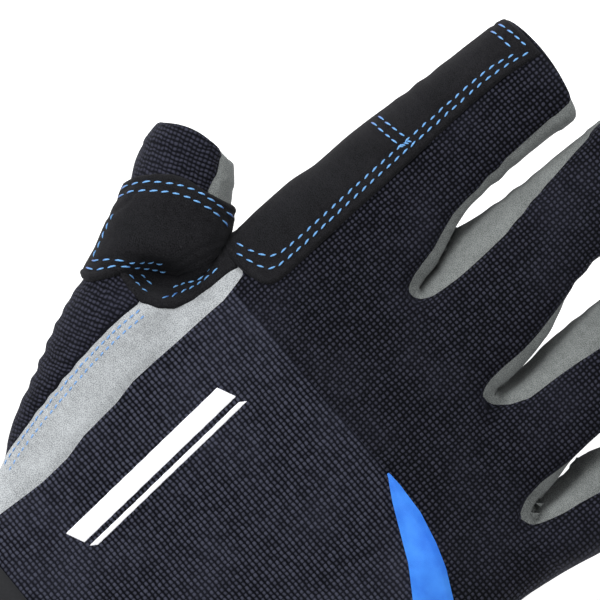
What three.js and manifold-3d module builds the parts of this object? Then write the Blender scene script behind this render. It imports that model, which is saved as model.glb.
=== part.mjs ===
// Right-hand short-finger sailing glove, lying palm down.
// Frame: millimetres. +X towards the little finger, +Y towards the fingertips,
// +Z out of the back of the hand.
// Z = 0 is the flat underside of the palm reinforcement. The drawing below counts Y from
// the wrist seam, and the finished group is moved back by REST_Y.
import * as THREE from 'three';
import { ConvexGeometry } from 'three/addons/geometries/ConvexGeometry.js';
import { mergeVertices } from 'three/addons/utils/BufferGeometryUtils.js';
import Module from 'manifold-3d';

const wasm = await Module();
wasm.setup();

// ---------- driving dimensions ----------
const FABRIC = 1.2; // thickness of every panel
const GAP = 0.3; // clearance between neighbouring pieces
const FLOOR = FABRIC + GAP; // underside of the palm panel, above the reinforcement
const SEAM_Z = 9.5; // height of the seam between back and palm panels
const REST_Y = 50; // distance from the wrist seam to the origin
const CROSS_SEAM_Y = 73.1; // seam between lower back panel and knuckle panel
const ROOT_Y = { index: 102, middle: 102, ring: 100 }; // finger root bend lines
const MID_Y = { index: 130, middle: 131, ring: 127 }; // finger middle bend lines
const LITTLE_MID = 20; // distance from the little finger's root bend to its middle bend
const THUMB_BEND = 50; // distance of the thumb bend along the thumb axis
const BEND_Z = 3; // height of the bend axes

// Tilted limbs: the plan position of their own origin, and the unit direction they run in
const THUMB_AXIS = { origin: [-43, 27], dir: [-0.4003, 0.9164] };
const LITTLE_AXIS = { origin: [42.2, 94], dir: [0.2, 0.9798] };
const uprightAxis = (x, y) => ({ origin: [x, y], dir: [0, 1] });

// ---------- sections ----------
const RING_POINTS = 24; // points on each section ring
const ROUNDNESS = 2.5; // superellipse exponent of the sections
const SINK = 0.9; // how far a section reaches under FLOOR before it is cut off flat
const END_REACH = 3; // how far a cutting limb runs past both ends of the limb it cuts

// Section rings: [x, y, half width, half height].
// A limb with an axis has x and y in its own frame: y along the axis, x across it.
const WRIST_RING = [-1, 0, 38, 16.5];
const CUFF_END = -46; // wrist opening
const CUFF = { rings: [[-1, CUFF_END, 37, 17.5], [-1, -20, 36, 17], WRIST_RING] };
const PALM = {
  rings: [
    WRIST_RING, [-0.2, 18, 40.5, 16], [0.2, 40, 44.8, 15.5], [-0.2, 60, 47, 15.2],
    [-0.8, 78, 48.2, 14.8], [-0.3, 92, 50, 13.4], [-0.2, 101, 50, 12.4], [-0.2, 106, 50, 12],
  ],
};
const INDEX = {
  rings: [
    [-33.8, 98, 16.4, 11.6], [-34.4, 106, 15.6, 11.4], [-36, 119, 14, 11],
    [-35.6, 140, 13.2, 10.6], [-35.2, 154, 12.8, 10.4],
  ],
};
const MIDDLE = {
  rings: [
    [-2.7, 98, 13.4, 11.9], [-3.4, 106, 13.4, 11.6], [-5.2, 118, 13.4, 11.2],
    [-5.8, 140, 12.8, 10.8], [-6.1, 157.5, 12.2, 10.5],
  ],
};
const RING = {
  rings: [
    [22, 96, 10.1, 11.3], [21.8, 106, 10.5, 11.1], [21.2, 119, 11.1, 10.8],
    [20.8, 136, 10.6, 10.4], [20.5, 150.5, 10.2, 10.1],
  ],
};
const LITTLE = {
  axis: LITTLE_AXIS,
  rings: [[0, -4, 8.6, 9.8], [0, 10, 8.5, 9.6], [0, 20, 8.3, 9.4], [0, 39, 8, 9.1]],
};
const THUMB = {
  axis: THUMB_AXIS,
  rings: [
    [9, -20, 13, 13], [6, 0, 14.5, 13.5], [4.5, 18, 13.6, 13.2], [3.6, 33, 13.6, 12.6],
    [2.4, 49, 12.4, 11.8], [1, 58, 11.2, 10.8], [-0.2, 67, 9.2, 10],
  ],
};
const HAND = [PALM, THUMB];
const endOf = (limb) => limb.rings.at(-1)[1];

// ---------- conversions between geometries and solids ----------
function toSolid(geometry) {
  const bare = geometry.clone();
  bare.deleteAttribute('normal');
  bare.deleteAttribute('uv');
  const welded = mergeVertices(bare, 1e-4);
  return new wasm.Manifold(new wasm.Mesh({
    numProp: 3,
    vertProperties: new Float32Array(welded.getAttribute('position').array),
    triVerts: new Uint32Array(welded.getIndex().array),
  }));
}

// Unindexed triangles of a solid
function toTriangles(solid) {
  const { triVerts, vertProperties, numProp } = solid.getMesh();
  const coordinates = [];
  for (const vertex of triVerts) {
    const start = vertex * numProp;
    coordinates.push(...vertProperties.subarray(start, start + 3));
  }
  const geometry = new THREE.BufferGeometry();
  geometry.setAttribute('position', new THREE.Float32BufferAttribute(coordinates, 3));
  return geometry;
}

// Welds close vertices and drops the triangles that collapse
function weld(geometry, tolerance) {
  const welded = mergeVertices(geometry, tolerance);
  const index = welded.getIndex().array;
  const kept = [];
  for (let i = 0; i < index.length; i += 3) {
    const [a, b, c] = index.subarray(i, i + 3);
    if (a !== b && b !== c && a !== c) kept.push(a, b, c);
  }
  welded.setIndex(kept);
  return welded;
}

const largestBody = (solid) => solid.decompose().sort((p, q) => q.volume() - p.volume())[0];

// Keeps the largest closed body. Short edges left by the cuts are welded away, so the
// weld starts coarse; each tolerance starts again from the whole solid.
const WELDS = [[2e-3, 3], [5e-4, 3], [1e-4, 2], [1e-5, 3]]; // [tolerance, passes]
function toGeometry(solid) {
  for (const [tolerance, passes] of WELDS) {
    let body = largestBody(solid);
    for (let pass = 0; pass < passes; pass++) {
      const welded = weld(toTriangles(body), tolerance);
      // guards against a weld that leaves the mesh open: the next tolerance is tried
      try {
        const result = toSolid(welded);
        if (result.decompose().length === 1) {
          welded.computeVertexNormals();
          return welded;
        }
        body = largestBody(result);
      } catch {
        break;
      }
    }
  }
  throw new Error('no weld leaves a single closed body');
}

// ---------- cutting shapes ----------
const ALL_X = [-200, 200];
const ALL_Y = [-200, 300];
const BOTTOM = -100;
const TOP = 200;

// Box between two limits on each axis
function box([x0, x1], [y0, y1], [z0, z1]) {
  const geometry = new THREE.BoxGeometry(x1 - x0, y1 - y0, z1 - z0);
  geometry.translate((x0 + x1) / 2, (y0 + y1) / 2, (z0 + z1) / 2);
  return toSolid(geometry);
}
const below = (z) => box(ALL_X, ALL_Y, [BOTTOM, z]);
const above = (z) => box(ALL_X, ALL_Y, [z, TOP]);
const beyond = (y) => box(ALL_X, [y, ALL_Y[1]], [BOTTOM, TOP]);
const backHalf = (solid) => solid.intersect(above(SEAM_Z + GAP / 2));
const palmHalf = (solid) => solid.subtract(above(SEAM_Z - GAP / 2));

const toVectors = (points) => points.map(([x, y]) => new THREE.Vector2(x, y));
const extrude = (points, depth) =>
  new THREE.ExtrudeGeometry(new THREE.Shape(toVectors(points)), { depth, bevelEnabled: false });

// Plan outline raised between two heights; by default taller than the glove
function prism(points, z0 = -20, z1 = 80) {
  return toSolid(extrude(points, z1 - z0).translate(0, 0, z0));
}

// Moves every edge of a polygon outward by a distance
function offset(points, distance) {
  const isCounterclockwise = THREE.ShapeUtils.area(toVectors(points)) > 0;
  const outline = isCounterclockwise ? points : [...points].reverse();
  const count = outline.length;
  const edgeNormal = (from, to) => {
    const dx = to[0] - from[0];
    const dy = to[1] - from[1];
    const length = Math.hypot(dx, dy);
    return [dy / length, -dx / length];
  };
  return outline.map((corner, i) => {
    const before = edgeNormal(outline[(i + count - 1) % count], corner);
    const after = edgeNormal(corner, outline[(i + 1) % count]);
    const miter = [before[0] + after[0], before[1] + after[1]];
    // the lower limit keeps a sharp corner from shooting out
    const scale = (2 * distance) / Math.max(0.3, miter[0] ** 2 + miter[1] ** 2);
    return [corner[0] + miter[0] * scale, corner[1] + miter[1] * scale];
  });
}

// Plan point at a distance along an axis and across it, positive towards +X
const pointOn = ({ origin, dir }, along, across) => [
  origin[0] + dir[0] * along + dir[1] * across,
  origin[1] + dir[1] * along - dir[0] * across,
];
const prismOn = (axis, points) =>
  prism(points.map(([along, across]) => pointOn(axis, along, across)));
const blockOn = (axis, [s0, s1], [w0, w1]) =>
  prismOn(axis, [[s0, w0], [s1, w0], [s1, w1], [s0, w1]]);
const CUT_HALF_WIDTH = 40; // half width of the cutters that span a whole finger or thumb
const slabOn = (axis, span) => blockOn(axis, span, [-CUT_HALF_WIDTH, CUT_HALF_WIDTH]);
// the thumb past a distance along it, bounded on the +X side to spare the palm
const thumbPast = (along) => blockOn(THUMB_AXIS, [along, 130], [-30, 15.2]);

// Wedge under a bend axis that lets the segment past it bend down clear of its neighbour
function bendNotch(axis, along, cutback) {
  const top = BEND_Z + 0.4;
  // profile: [along the finger, height]; the extrusion runs across
  const profile = [[-1, top], [0.2, top], [cutback, -3], [-1, -3]];
  const geometry = extrude(profile, 2 * CUT_HALF_WIDTH);
  const [dx, dy] = axis.dir;
  geometry.applyMatrix4(new THREE.Matrix4().makeBasis(
    new THREE.Vector3(dx, dy, 0),
    new THREE.Vector3(0, 0, 1),
    new THREE.Vector3(dy, -dx, 0),
  ));
  const [x, y] = pointOn(axis, along, -CUT_HALF_WIDTH);
  return toSolid(geometry.translate(x, y, 0));
}

// ---------- limbs ----------
// Superellipse section in a plane across Y
function ringPoints([x, y, halfWidth, halfHeight], grow) {
  const centreZ = FLOOR + halfHeight - SINK;
  const reachOf = (half, c) => (half + grow) * Math.sign(c) * Math.abs(c) ** (2 / ROUNDNESS);
  const points = [];
  for (let k = 0; k < RING_POINTS; k++) {
    const angle = (2 * Math.PI * (k + 0.5)) / RING_POINTS;
    points.push(new THREE.Vector3(
      x + reachOf(halfWidth, Math.cos(angle)),
      y,
      centreZ + reachOf(halfHeight, Math.sin(angle)),
    ));
  }
  return points;
}

// Moves the first and last ring outward along the limb
function lengthen(rings, reach) {
  const placed = rings.map((ring) => [...ring]);
  const last = placed.length - 1;
  for (const [end, next] of [[0, 1], [last, last - 1]]) {
    const dx = placed[end][0] - placed[next][0];
    const dy = placed[end][1] - placed[next][1];
    const length = Math.hypot(dx, dy);
    placed[end][0] += (dx / length) * reach;
    placed[end][1] += (dy / length) * reach;
  }
  return placed;
}

const union = (solids) => solids.reduce((sum, solid) => sum.add(solid));

// Joined hulls of neighbouring rings. A tilted limb is built along Y and then turned into
// place, so that its hulls share their rings exactly.
function limbSolid({ rings, axis }, grow, reach = 0) {
  const sections = lengthen(rings, reach).map((ring) => ringPoints(ring, grow));
  const hulls = sections.slice(1).map((section, i) =>
    toSolid(new ConvexGeometry([...sections[i], ...section])));
  const solid = union(hulls);
  if (!axis) return solid;
  const triangles = toTriangles(solid);
  triangles.rotateZ(Math.atan2(-axis.dir[0], axis.dir[1]));
  triangles.translate(axis.origin[0], axis.origin[1], 0);
  return toSolid(triangles);
}
const joinLimbs = (limbs, grow, reach) =>
  union(limbs.map((limb) => limbSolid(limb, grow, reach)));

// Hollow shell of a set of limbs, one fabric thick
function shell(limbs) {
  const outer = joinLimbs(limbs, 0);
  const inner = joinLimbs(limbs, -FABRIC, END_REACH);
  return outer.subtract(below(FLOOR)).subtract(inner.subtract(below(FLOOR + FABRIC)));
}

// One fabric thickness sewn on top of a set of limbs, lifted off their surface
function layer(limbs, lift = GAP) {
  const outer = joinLimbs(limbs, lift + FABRIC);
  return outer.subtract(joinLimbs(limbs, lift, END_REACH)).subtract(below(FLOOR + GAP));
}
const SECOND_LIFT = 2 * GAP + FABRIC;
const THIRD_LIFT = 3 * GAP + 2 * FABRIC;

// ---------- materials and group ----------
const matte = (color, roughness) =>
  new THREE.MeshStandardMaterial({ color, roughness, metalness: 0 });
const MATERIALS = {
  knit: matte(0x15161d, 0.9),
  blackSuede: matte(0x232323, 0.95),
  greySuede: matte(0x8f8f92, 0.95),
  blue: matte(0x2c80f0, 0.5),
  neoprene: matte(0x17181b, 0.7),
  hook: matte(0x101010, 0.8),
  binding: matte(0x1b1c20, 0.8),
};

const glove = new THREE.Group();
function add(name, material, solid) {
  const mesh = new THREE.Mesh(toGeometry(solid), MATERIALS[material]);
  mesh.name = name;
  glove.add(mesh);
}

// ---------- seam lines in plan, [x, y] ----------
// Gusset strip at the thumb base: its edges facing the thumb and facing the hand
const STRIP_THUMB_EDGE = [[-52.5, 57], [-50.6, 44.5], [-49, 32.7], [-46.8, 20.4], [-43.6, 10]];
const STRIP_HAND_EDGE = [
  [-36.2, 6], [-35.5, 17.7], [-35.9, 25], [-37.2, 30.6], [-38, 40],
  [-39.4, 45.5], [-39.8, 52.5], [-40, 61], [-40.1, 70.6],
];
const STRIP_WRIST_END = [-41.2, 4.5];
const STRIP_FRONT_CORNER = [-60, 77];
const STRIP = [
  ...STRIP_HAND_EDGE, [-41.6, 77], STRIP_FRONT_CORNER, ...STRIP_THUMB_EDGE, STRIP_WRIST_END,
];
// everything on the thumb's side of the strip
const THUMB_SIDE = [
  [-120, 0], [STRIP_WRIST_END[0], 0], STRIP_WRIST_END, ...[...STRIP_THUMB_EDGE].reverse(),
  STRIP_FRONT_CORNER, [-60, 120], [-120, 120],
];
const SIDE_INSERT = [
  [8.4, 73.9], [14.3, 70.6], [20.2, 67.8], [26, 65], [32.5, 60.8], [62, 38],
  [62, 54], [38, 67.3], [31.8, 70.3], [26.4, 72.1], [19.7, 73.7], [12.7, 74.1],
];
// beyond the cross seam and beyond the insert's front edge
const KNUCKLE = [
  [-100, CROSS_SEAM_Y], [9.5, CROSS_SEAM_Y], [12.7, 74], [19.7, 73.6], [26.4, 72],
  [31.8, 70.2], [38, 67.2], [63, 53.4], [63, 125], [-100, 125],
];
const WEB = [
  [-58.2, 57.7], [-49.2, 57.7], [-46, 60.3], [-44.1, 65],
  [-43.5, 70], [-43.6, 76.6], [-48.6, 76.4], [-55.5, 72.9],
];
const REINFORCEMENT = [
  [-30, 12], [-12, 7], [18, 7], [32, 14], [38, 40], [40, 66],
  [34, 84], [12, 90], [-24, 90], [-38, 82], [-40, 62], [-38, 36],
];
const INDEX_PATCH_EDGE_X = -37; // edge of the index patches towards the middle finger
const INDEX_ROOT_PATCH = [
  [-60, 78], [-47.8, 78], [-41.8, 77.3], [-38.4, 78.4],
  [INDEX_PATCH_EDGE_X, 80.5], [INDEX_PATCH_EDGE_X, 101.8], [-60, 101.8],
];
// from just past the wrist seam to the finger roots, with a step for each root line;
// the last edge at the front slants with the little finger's root
const HAND_OUTLINE = [
  [-80, ROOT_Y.middle], [10.9, ROOT_Y.middle], [10.9, ROOT_Y.ring], [33.4, ROOT_Y.ring],
  [33.4, 95.8], [62, 89.96], [62, 0.4], [-80, 0.4],
];

// ---------- hand ----------
const handShell = shell(HAND).intersect(prism(HAND_OUTLINE)).subtract(thumbPast(THUMB_BEND));
const handBack = backHalf(handShell);
const stripClearance = prism(offset(STRIP, GAP));
const thumbSide = prism(THUMB_SIDE);
const knitBack = handBack.subtract(stripClearance).subtract(thumbSide)
  .subtract(prism(offset(SIDE_INSERT, GAP)));

add('lower_back_panel', 'knit', knitBack.subtract(prism(offset(KNUCKLE, GAP))));
add('knuckle_panel', 'knit', knitBack.intersect(prism(KNUCKLE)));
add('side_insert', 'blue', handBack.intersect(prism(SIDE_INSERT)));
add('thumb_gusset_strip', 'greySuede', handBack.intersect(prism(STRIP)));
add('thumb_base_back_panel', 'knit', handBack.intersect(thumbSide).subtract(stripClearance));
add('palm_panel', 'greySuede', palmHalf(handShell));
add('thumb_web_patch', 'blackSuede', layer(HAND)
  .intersect(prism(WEB))
  .intersect(above(13))
  .subtract(thumbPast(THUMB_BEND - 1.5)));
add('palm_reinforcement', 'blackSuede', prism(REINFORCEMENT, 0, FLOOR - GAP));

// ---------- crotch walls: the folded middle of each fourchette ----------
const FOLD_DEPTH = 2.6;
const FOLD_SETBACK = 0.35; // from the finger root line
const FOLDS = [
  { fingers: 'index_middle', x: -16.7, rootY: ROOT_Y.middle, width: 2.6, top: 23 },
  { fingers: 'middle_ring', x: 11.3, rootY: ROOT_Y.ring, width: 2.4, top: 22.5 },
  { fingers: 'ring_little', x: 33.3, rootY: 95.2, width: 2.4, top: 21.5 },
];
const handRoom = limbSolid(PALM, -(FABRIC + GAP), END_REACH)
  .subtract(below(FLOOR + FABRIC + GAP));
for (const { fingers, x, rootY, width, top } of FOLDS) {
  const front = rootY - FOLD_SETBACK;
  const fold = box([x - width / 2, x + width / 2], [front - FOLD_DEPTH, front], [FLOOR, top]);
  add(`${fingers}_fourchette_fold`, 'greySuede', fold.intersect(handRoom));
}

// ---------- cuff ----------
const BINDING_WIDTH = 4;
const cuffShell = shell([CUFF]);
const cuffBody = cuffShell
  .subtract(beyond(-0.1))
  .intersect(beyond(CUFF_END + BINDING_WIDTH + GAP));
add('cuff_back', 'neoprene', backHalf(cuffBody));
add('cuff_palm', 'neoprene', palmHalf(cuffBody));
add('cuff_binding', 'binding', cuffShell.subtract(beyond(CUFF_END + BINDING_WIDTH)));

// ---------- wrist strap, stacked in three layers on the back of the cuff ----------
const STRAP_X = [-24, 27];
const STRAP_Y = [-34, -10];
const STRAP_Z = [18, 80];
const HOOK_X = [STRAP_X[0] + 2, -1];
const HOOK_Y = [STRAP_Y[0] + 1, STRAP_Y[1] - 1];
const ANCHOR_X = [STRAP_X[1] + GAP, 39];
add('loop_patch', 'hook', layer([CUFF]).intersect(box([-30, 8], STRAP_Y, STRAP_Z)));
add('strap_anchor', 'neoprene', layer([CUFF]).intersect(box(ANCHOR_X, STRAP_Y, [12, 80])));
add('hook_patch', 'hook', layer([CUFF], SECOND_LIFT).intersect(box(HOOK_X, HOOK_Y, STRAP_Z)));
add('wrist_strap', 'neoprene',
  layer([CUFF], THIRD_LIFT).intersect(box(STRAP_X, STRAP_Y, STRAP_Z)));

// ---------- fingers ----------
const WALL_Z = [SEAM_Z - 3.2, SEAM_Z + 7.5]; // seams below and above the side walls
const FINGER_CUTBACK = 9.5;

// middleBend and end are distances along the axis from the root bend;
// walls lists [neighbouring finger, side of the axis: 1 is +X]
const FINGERS = [
  {
    name: 'index', limb: INDEX, axis: uprightAxis(-34, ROOT_Y.index),
    middleBend: MID_Y.index - ROOT_Y.index, end: endOf(INDEX) - ROOT_Y.index,
    walls: [['middle', 1]], patch: box([-60, INDEX_PATCH_EDGE_X], [76, 200], [5, 80]),
  },
  {
    name: 'middle', limb: MIDDLE, axis: uprightAxis(-4, ROOT_Y.middle),
    middleBend: MID_Y.middle - ROOT_Y.middle, end: endOf(MIDDLE) - ROOT_Y.middle,
    walls: [['index', -1], ['ring', 1]],
  },
  {
    name: 'ring', limb: RING, axis: uprightAxis(21, ROOT_Y.ring),
    middleBend: MID_Y.ring - ROOT_Y.ring, end: endOf(RING) - ROOT_Y.ring,
    walls: [['middle', -1], ['little', 1]],
  },
  {
    name: 'little', limb: LITTLE, axis: LITTLE_AXIS,
    middleBend: LITTLE_MID, end: endOf(LITTLE), walls: [['ring', -1]],
  },
];

// Back, palm and side walls of one finger segment, and its patch if it has one
function addSegment({ limb, axis, walls, patch }, name, from, to) {
  const slab = slabOn(axis, [from + GAP / 2, to]);
  const notch = bendNotch(axis, from, FINGER_CUTBACK);
  const cut = (solid) => solid.intersect(slab).subtract(notch);
  const tube = cut(shell([limb]));
  const [lowZ, highZ] = WALL_Z;
  let back = tube.intersect(above(lowZ + GAP / 2));
  for (const [neighbour, sign] of walls) {
    const side = blockOn(axis, [-60, 90], [2 * sign, 60 * sign]);
    const wall = back.intersect(side).subtract(above(highZ));
    add(`${name}_${neighbour}_side_fourchette`, 'greySuede', wall);
    back = back.subtract(side.subtract(above(highZ + GAP)));
  }
  add(`${name}_back`, 'knit', back);
  add(`${name}_palm`, 'greySuede', tube.subtract(above(lowZ - GAP / 2)));
  if (patch) add(`${name}_patch`, 'blackSuede', cut(layer([limb])).intersect(patch));
}
for (const finger of FINGERS) {
  addSegment(finger, `${finger.name}_base`, 0, finger.middleBend - GAP / 2);
  addSegment(finger, `${finger.name}_tip`, finger.middleBend, finger.end);
}

// the index patch carries on over the knuckle panel, on the hand side of the root bend
add('index_root_patch', 'blackSuede', layer([PALM])
  .intersect(prism(INDEX_ROOT_PATCH))
  .intersect(above(8))
  .subtract(thumbPast(30)));

// ---------- thumb ----------
const THUMB_CUTBACK = 6.5;
const THUMB_PATCH_Z = 7; // lower edge of the thumb patches
const tipStart = THUMB_BEND + GAP;
const baseEnd = THUMB_BEND - GAP;
// patch outlines: [along, across] the thumb axis
const THUMB_TIP_PATCH = [[tipStart, 10.5], [tipStart, -30], [57, -30], [57, 8]];
const THUMB_BASE_PATCH = [[30, -30], [baseEnd, -30], [baseEnd, 0], [33, 0]];

const thumbTip = shell([THUMB])
  .intersect(slabOn(THUMB_AXIS, [tipStart, endOf(THUMB)]))
  .subtract(bendNotch(THUMB_AXIS, THUMB_BEND, THUMB_CUTBACK));
add('thumb_tip_back', 'knit', backHalf(thumbTip));
add('thumb_tip_palm', 'greySuede', palmHalf(thumbTip));
add('thumb_tip_patch', 'blackSuede', layer([THUMB])
  .intersect(prismOn(THUMB_AXIS, THUMB_TIP_PATCH))
  .intersect(above(THUMB_PATCH_Z)));
add('thumb_base_patch', 'blackSuede', layer([THUMB], 2 * GAP)
  .intersect(prismOn(THUMB_AXIS, THUMB_BASE_PATCH))
  .intersect(above(THUMB_PATCH_Z))
  .subtract(prism(offset(WEB, 2 * GAP))));

glove.position.y = -REST_Y;
glove.updateMatrixWorld(true);

export default glove;
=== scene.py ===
# A fabric glove lying palm down: fingers point to +y, the thumb is on the -x side and the
# back of the hand faces +z. The shapes are drawn in mm, with y counted from the wrist seam.
# One implicit form of the hand is turned into a mesh; every panel is cut out of that mesh.
import math
from collections import namedtuple

import bpy
import numpy as np
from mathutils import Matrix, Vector

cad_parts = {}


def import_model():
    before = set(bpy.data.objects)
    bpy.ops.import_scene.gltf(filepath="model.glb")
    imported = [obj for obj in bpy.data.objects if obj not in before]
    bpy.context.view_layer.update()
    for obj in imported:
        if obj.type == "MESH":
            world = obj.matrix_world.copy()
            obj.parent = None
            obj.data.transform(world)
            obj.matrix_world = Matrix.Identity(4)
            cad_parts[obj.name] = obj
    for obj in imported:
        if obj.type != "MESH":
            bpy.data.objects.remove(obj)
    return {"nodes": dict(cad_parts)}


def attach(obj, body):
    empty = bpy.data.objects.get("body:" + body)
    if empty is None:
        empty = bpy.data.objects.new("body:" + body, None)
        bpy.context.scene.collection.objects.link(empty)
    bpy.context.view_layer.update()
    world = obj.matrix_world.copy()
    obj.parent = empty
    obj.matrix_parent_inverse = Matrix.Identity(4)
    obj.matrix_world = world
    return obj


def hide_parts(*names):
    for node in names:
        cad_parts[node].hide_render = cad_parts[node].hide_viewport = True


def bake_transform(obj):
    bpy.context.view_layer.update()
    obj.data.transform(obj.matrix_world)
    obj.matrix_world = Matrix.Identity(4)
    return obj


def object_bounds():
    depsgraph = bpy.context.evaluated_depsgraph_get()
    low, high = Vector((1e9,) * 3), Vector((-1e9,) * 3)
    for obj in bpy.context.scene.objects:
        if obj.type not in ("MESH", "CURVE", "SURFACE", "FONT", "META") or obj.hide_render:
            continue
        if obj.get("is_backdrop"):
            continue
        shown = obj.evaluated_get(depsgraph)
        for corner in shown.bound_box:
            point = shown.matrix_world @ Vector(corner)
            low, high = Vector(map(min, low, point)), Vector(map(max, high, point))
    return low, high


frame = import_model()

CAD_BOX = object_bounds()
CELL = 1.0      # grid step of the form, mm
MM = 0.001
REST_Y = 50.0                           # drawing y of the frame's origin
X, Y, Z = range(3)

# ---------------------------------------------------------------- the hand form (mm)
FINGERS = ("index", "middle", "ring", "little")
LONG_FINGERS = FINGERS[:3]
UNDERSIDE = 1.5
LIMB_FLOOR = 0.6                        # lowest z of every limb's section
# stations: y, centre x, half width, half height
SECTIONS = {
    "palm": [
        (-60, -1, 37.6, 17.8), (-46, -1, 37.2, 17.6), (-20, -1, 36, 17), (0, -1, 38, 16.6),
        (18, -0.2, 40.5, 16.2), (40, 0.2, 44.6, 15.8), (60, -0.1, 46.5, 15.3), (78, 0, 46.9, 14.5),
        (92, 0.4, 48.4, 13.2), (106, 1.0, 49, 12.3), (130, 1.0, 49, 12)],
    "index": [
        (60, -32.6, 14.6, 12.4), (88, -32.4, 15.7, 12.4), (98, -32.3, 15.9, 12.1),
        (106, -32.6, 15.5, 11.8), (112, -33.5, 15.1, 11.5), (118, -34.4, 13.8, 11.2),
        (126, -34.75, 12.95, 10.9), (132, -34.7, 12.65, 10.8), (141, -34.75, 12.35, 10.6),
        (152, -34.55, 12.05, 10.4), (170, -34.55, 12.05, 10.4)],
    "middle": [
        (60, -2.5, 13, 12.6), (98, -2.5, 13.6, 12.5), (106, -2.9, 13.8, 12.1),
        (112, -3.9, 14.3, 11.8), (118, -5.2, 14.6, 11.5), (122, -6, 13.7, 11.4),
        (126, -6.9, 12.6, 11.2), (134, -7.3, 11.8, 11), (144, -7.2, 11.4, 10.8),
        (152, -7.2, 11.4, 10.7), (175, -7.2, 11.4, 10.6)],
    "ring": [
        (60, 21.8, 11, 12.2), (96, 21.9, 11.5, 12.0), (106, 22, 11.0, 11.7),
        (112, 21.4, 10.8, 11.4), (119, 20.8, 11.2, 11.1), (126, 20.6, 11, 10.9),
        (136, 20.5, 10.8, 10.6), (170, 20.4, 10.6, 10.3)],
    # turned limbs: distance along, offset to the thumb side, half width, half height
    "thumb": [
        (-24, -9, 13, 13), (0, -6, 14.2, 13.6), (8, -5.2, 13.4, 13.5), (18, -4.4, 13.4, 13.4),
        (24, -4.1, 13.3, 13.2), (27.5, -4.0, 13.0, 13.1), (31, -4.5, 12.3, 13),
        (35, -4.35, 12.0, 12.8), (44, -3.8, 11.4, 12.4), (49.5, -3.2, 11.05, 12.1),
        (52.3, -2.7, 10.6, 11.9), (55, -1.8, 11.0, 11.6), (58.4, -1.3, 10.95, 11.3),
        (62, -0.45, 10.05, 10.9), (66, 0.1, 8.1, 10.3), (72, 0.5, 6, 9.6), (90, 0.5, 6, 9)],
    "little": [
        (-30, 0.5, 8.4, 11.2), (-4, -0.3, 8.0, 10.6), (4, 0.3, 8.6, 10.3), (12, 0.9, 9.1, 10),
        (20, 0.6, 8.9, 9.7), (60, 0, 8.4, 9.2)],
}
# roundness exponents of the sections: general or +x side, and -x side where it differs
ROUNDNESS = {
    "palm": (2.5, None), "thumb": (2.25, None), "index": (3.0, 2.3),
    "middle": (3.0, 2.0), "ring": (3.0, 2.0), "little": (2.2, 2.0),
}
# start point and direction of the turned limbs, in plan
LINES = {
    "thumb": (np.array([-43.0, 27.0]), np.array([-0.4003, 0.9164])),
    "little": (np.array([41.4, 94.0]), np.array([0.17, 0.98544])),
}
FINGER_START = {"index": 72, "middle": 76, "ring": 74}      # y where each tube begins
TURNED_START = -22                                          # the same, along a turned limb
PALM_FRONT = ([-60, -16, 10, 34, 52], [101, 100.6, 98.6, 89.5, 86])     # x; y of the palm's end
# open ends: x of the crown and y of the long fingers; distance along for the turned limbs
TIPS = {"index": (-38, 154.6), "middle": (-7.5, 157.2), "ring": (20.5, 150.2)}
LITTLE_TIP, THUMB_TIP, CUFF_END = 38.8, 67.8, -45.8
# slots between neighbouring fingers: x, y, half width
SLOTS = [np.array(slot) for slot in (
    [(-16.2, 103.4, .5), (-16.7, 105.5, .55), (-17.1, 108.5, .6), (-18.3, 111.6, .6),
     (-19.5, 115, .6), (-20.3, 117.8, .7), (-20.6, 121, 1.1), (-20.7, 126, 1.4),
     (-20.6, 134, 1.7), (-20.5, 144, 1.95), (-20.5, 170, 2)],
    [(10.3, 102.2, .5), (10.95, 106, .65), (10.55, 110.9, .8), (9.8, 115.5, .9),
     (9.4, 119.4, 1.0), (8.6, 123.6, 1.5), (7.8, 126.7, 2.35), (7.3, 130.5, 2.55),
     (6.9, 135, 2.65), (6.8, 170, 2.65)],
    [(34.6, 91.2, .5), (34.1, 93.6, .55), (34.2, 97, .65), (34.0, 100, .75), (33.5, 103.3, .9),
     (32.9, 106, .95), (32.6, 110, 1.05), (33.5, 118, 1.6), (35.4, 130, 2), (38.5, 150, 2.5)],
)]
SLOT_UPRIGHT = (127.5, 128.5, 119)      # y from which each slot stands upright
# slots on the thumb side and on the far side of each finger
FINGER_SLOTS = {"index": (None, 0), "middle": (0, 1), "ring": (1, 2), "little": (2, None)}
ROOT = {"index": 102.0, "middle": 102.0, "ring": 100.6}     # y where a finger's fabric starts
MID = {"index": 130.0, "middle": 131.0, "ring": 127.0}      # y of the middle joint
LITTLE_ROOT, LITTLE_CUT = -1.0, 11.5                        # the little finger's, along its line
THUMB_CUT = 50.0

# ---------------------------------------------------------------- seam lines in plan: x, y (mm)
SEAM = 8.2                              # z of the seam between the back and the palm side
STRIP_THUMB_EDGE = [
    (-56.5, 61), (-52.6, 59.3), (-50.8, 56.9), (-50.9, 52.5), (-50.8, 48.7), (-50.0, 41),
    (-49.2, 36.1), (-47.4, 25.8), (-45.5, 18.1), (-43.0, 10)]
STRIP = [
    (-36.2, 5), (-35.5, 17.7), (-35.9, 25), (-37.2, 30.6), (-38, 40), (-39.2, 45.5),
    (-39.6, 52.5), (-39.9, 61), (-40.1, 70.6), (-41.6, 77), (-44, 78.6), (-48.3, 78.6),
    (-50, 74), (-54, 66)] + STRIP_THUMB_EDGE + [(-41.2, 3)]
THUMB_SIDE = [(-120, -1), (-41.2, -1), (-41.2, 3)] + STRIP_THUMB_EDGE[::-1] + [
    (-54, 66), (-50, 74), (-48.5, 78.4), (-48.8, 80), (-53, 92), (-60, 120), (-120, 120)]
BLUE = [
    (8.4, 73.9), (14.3, 70.6), (20.2, 67.8), (26, 65), (32.5, 60.8), (44, 50), (62, 38),
    (62, 54), (46, 62.5), (38, 67.3), (31.8, 70.3), (26.4, 72.1), (19.7, 73.7), (12.7, 74.1)]
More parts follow.
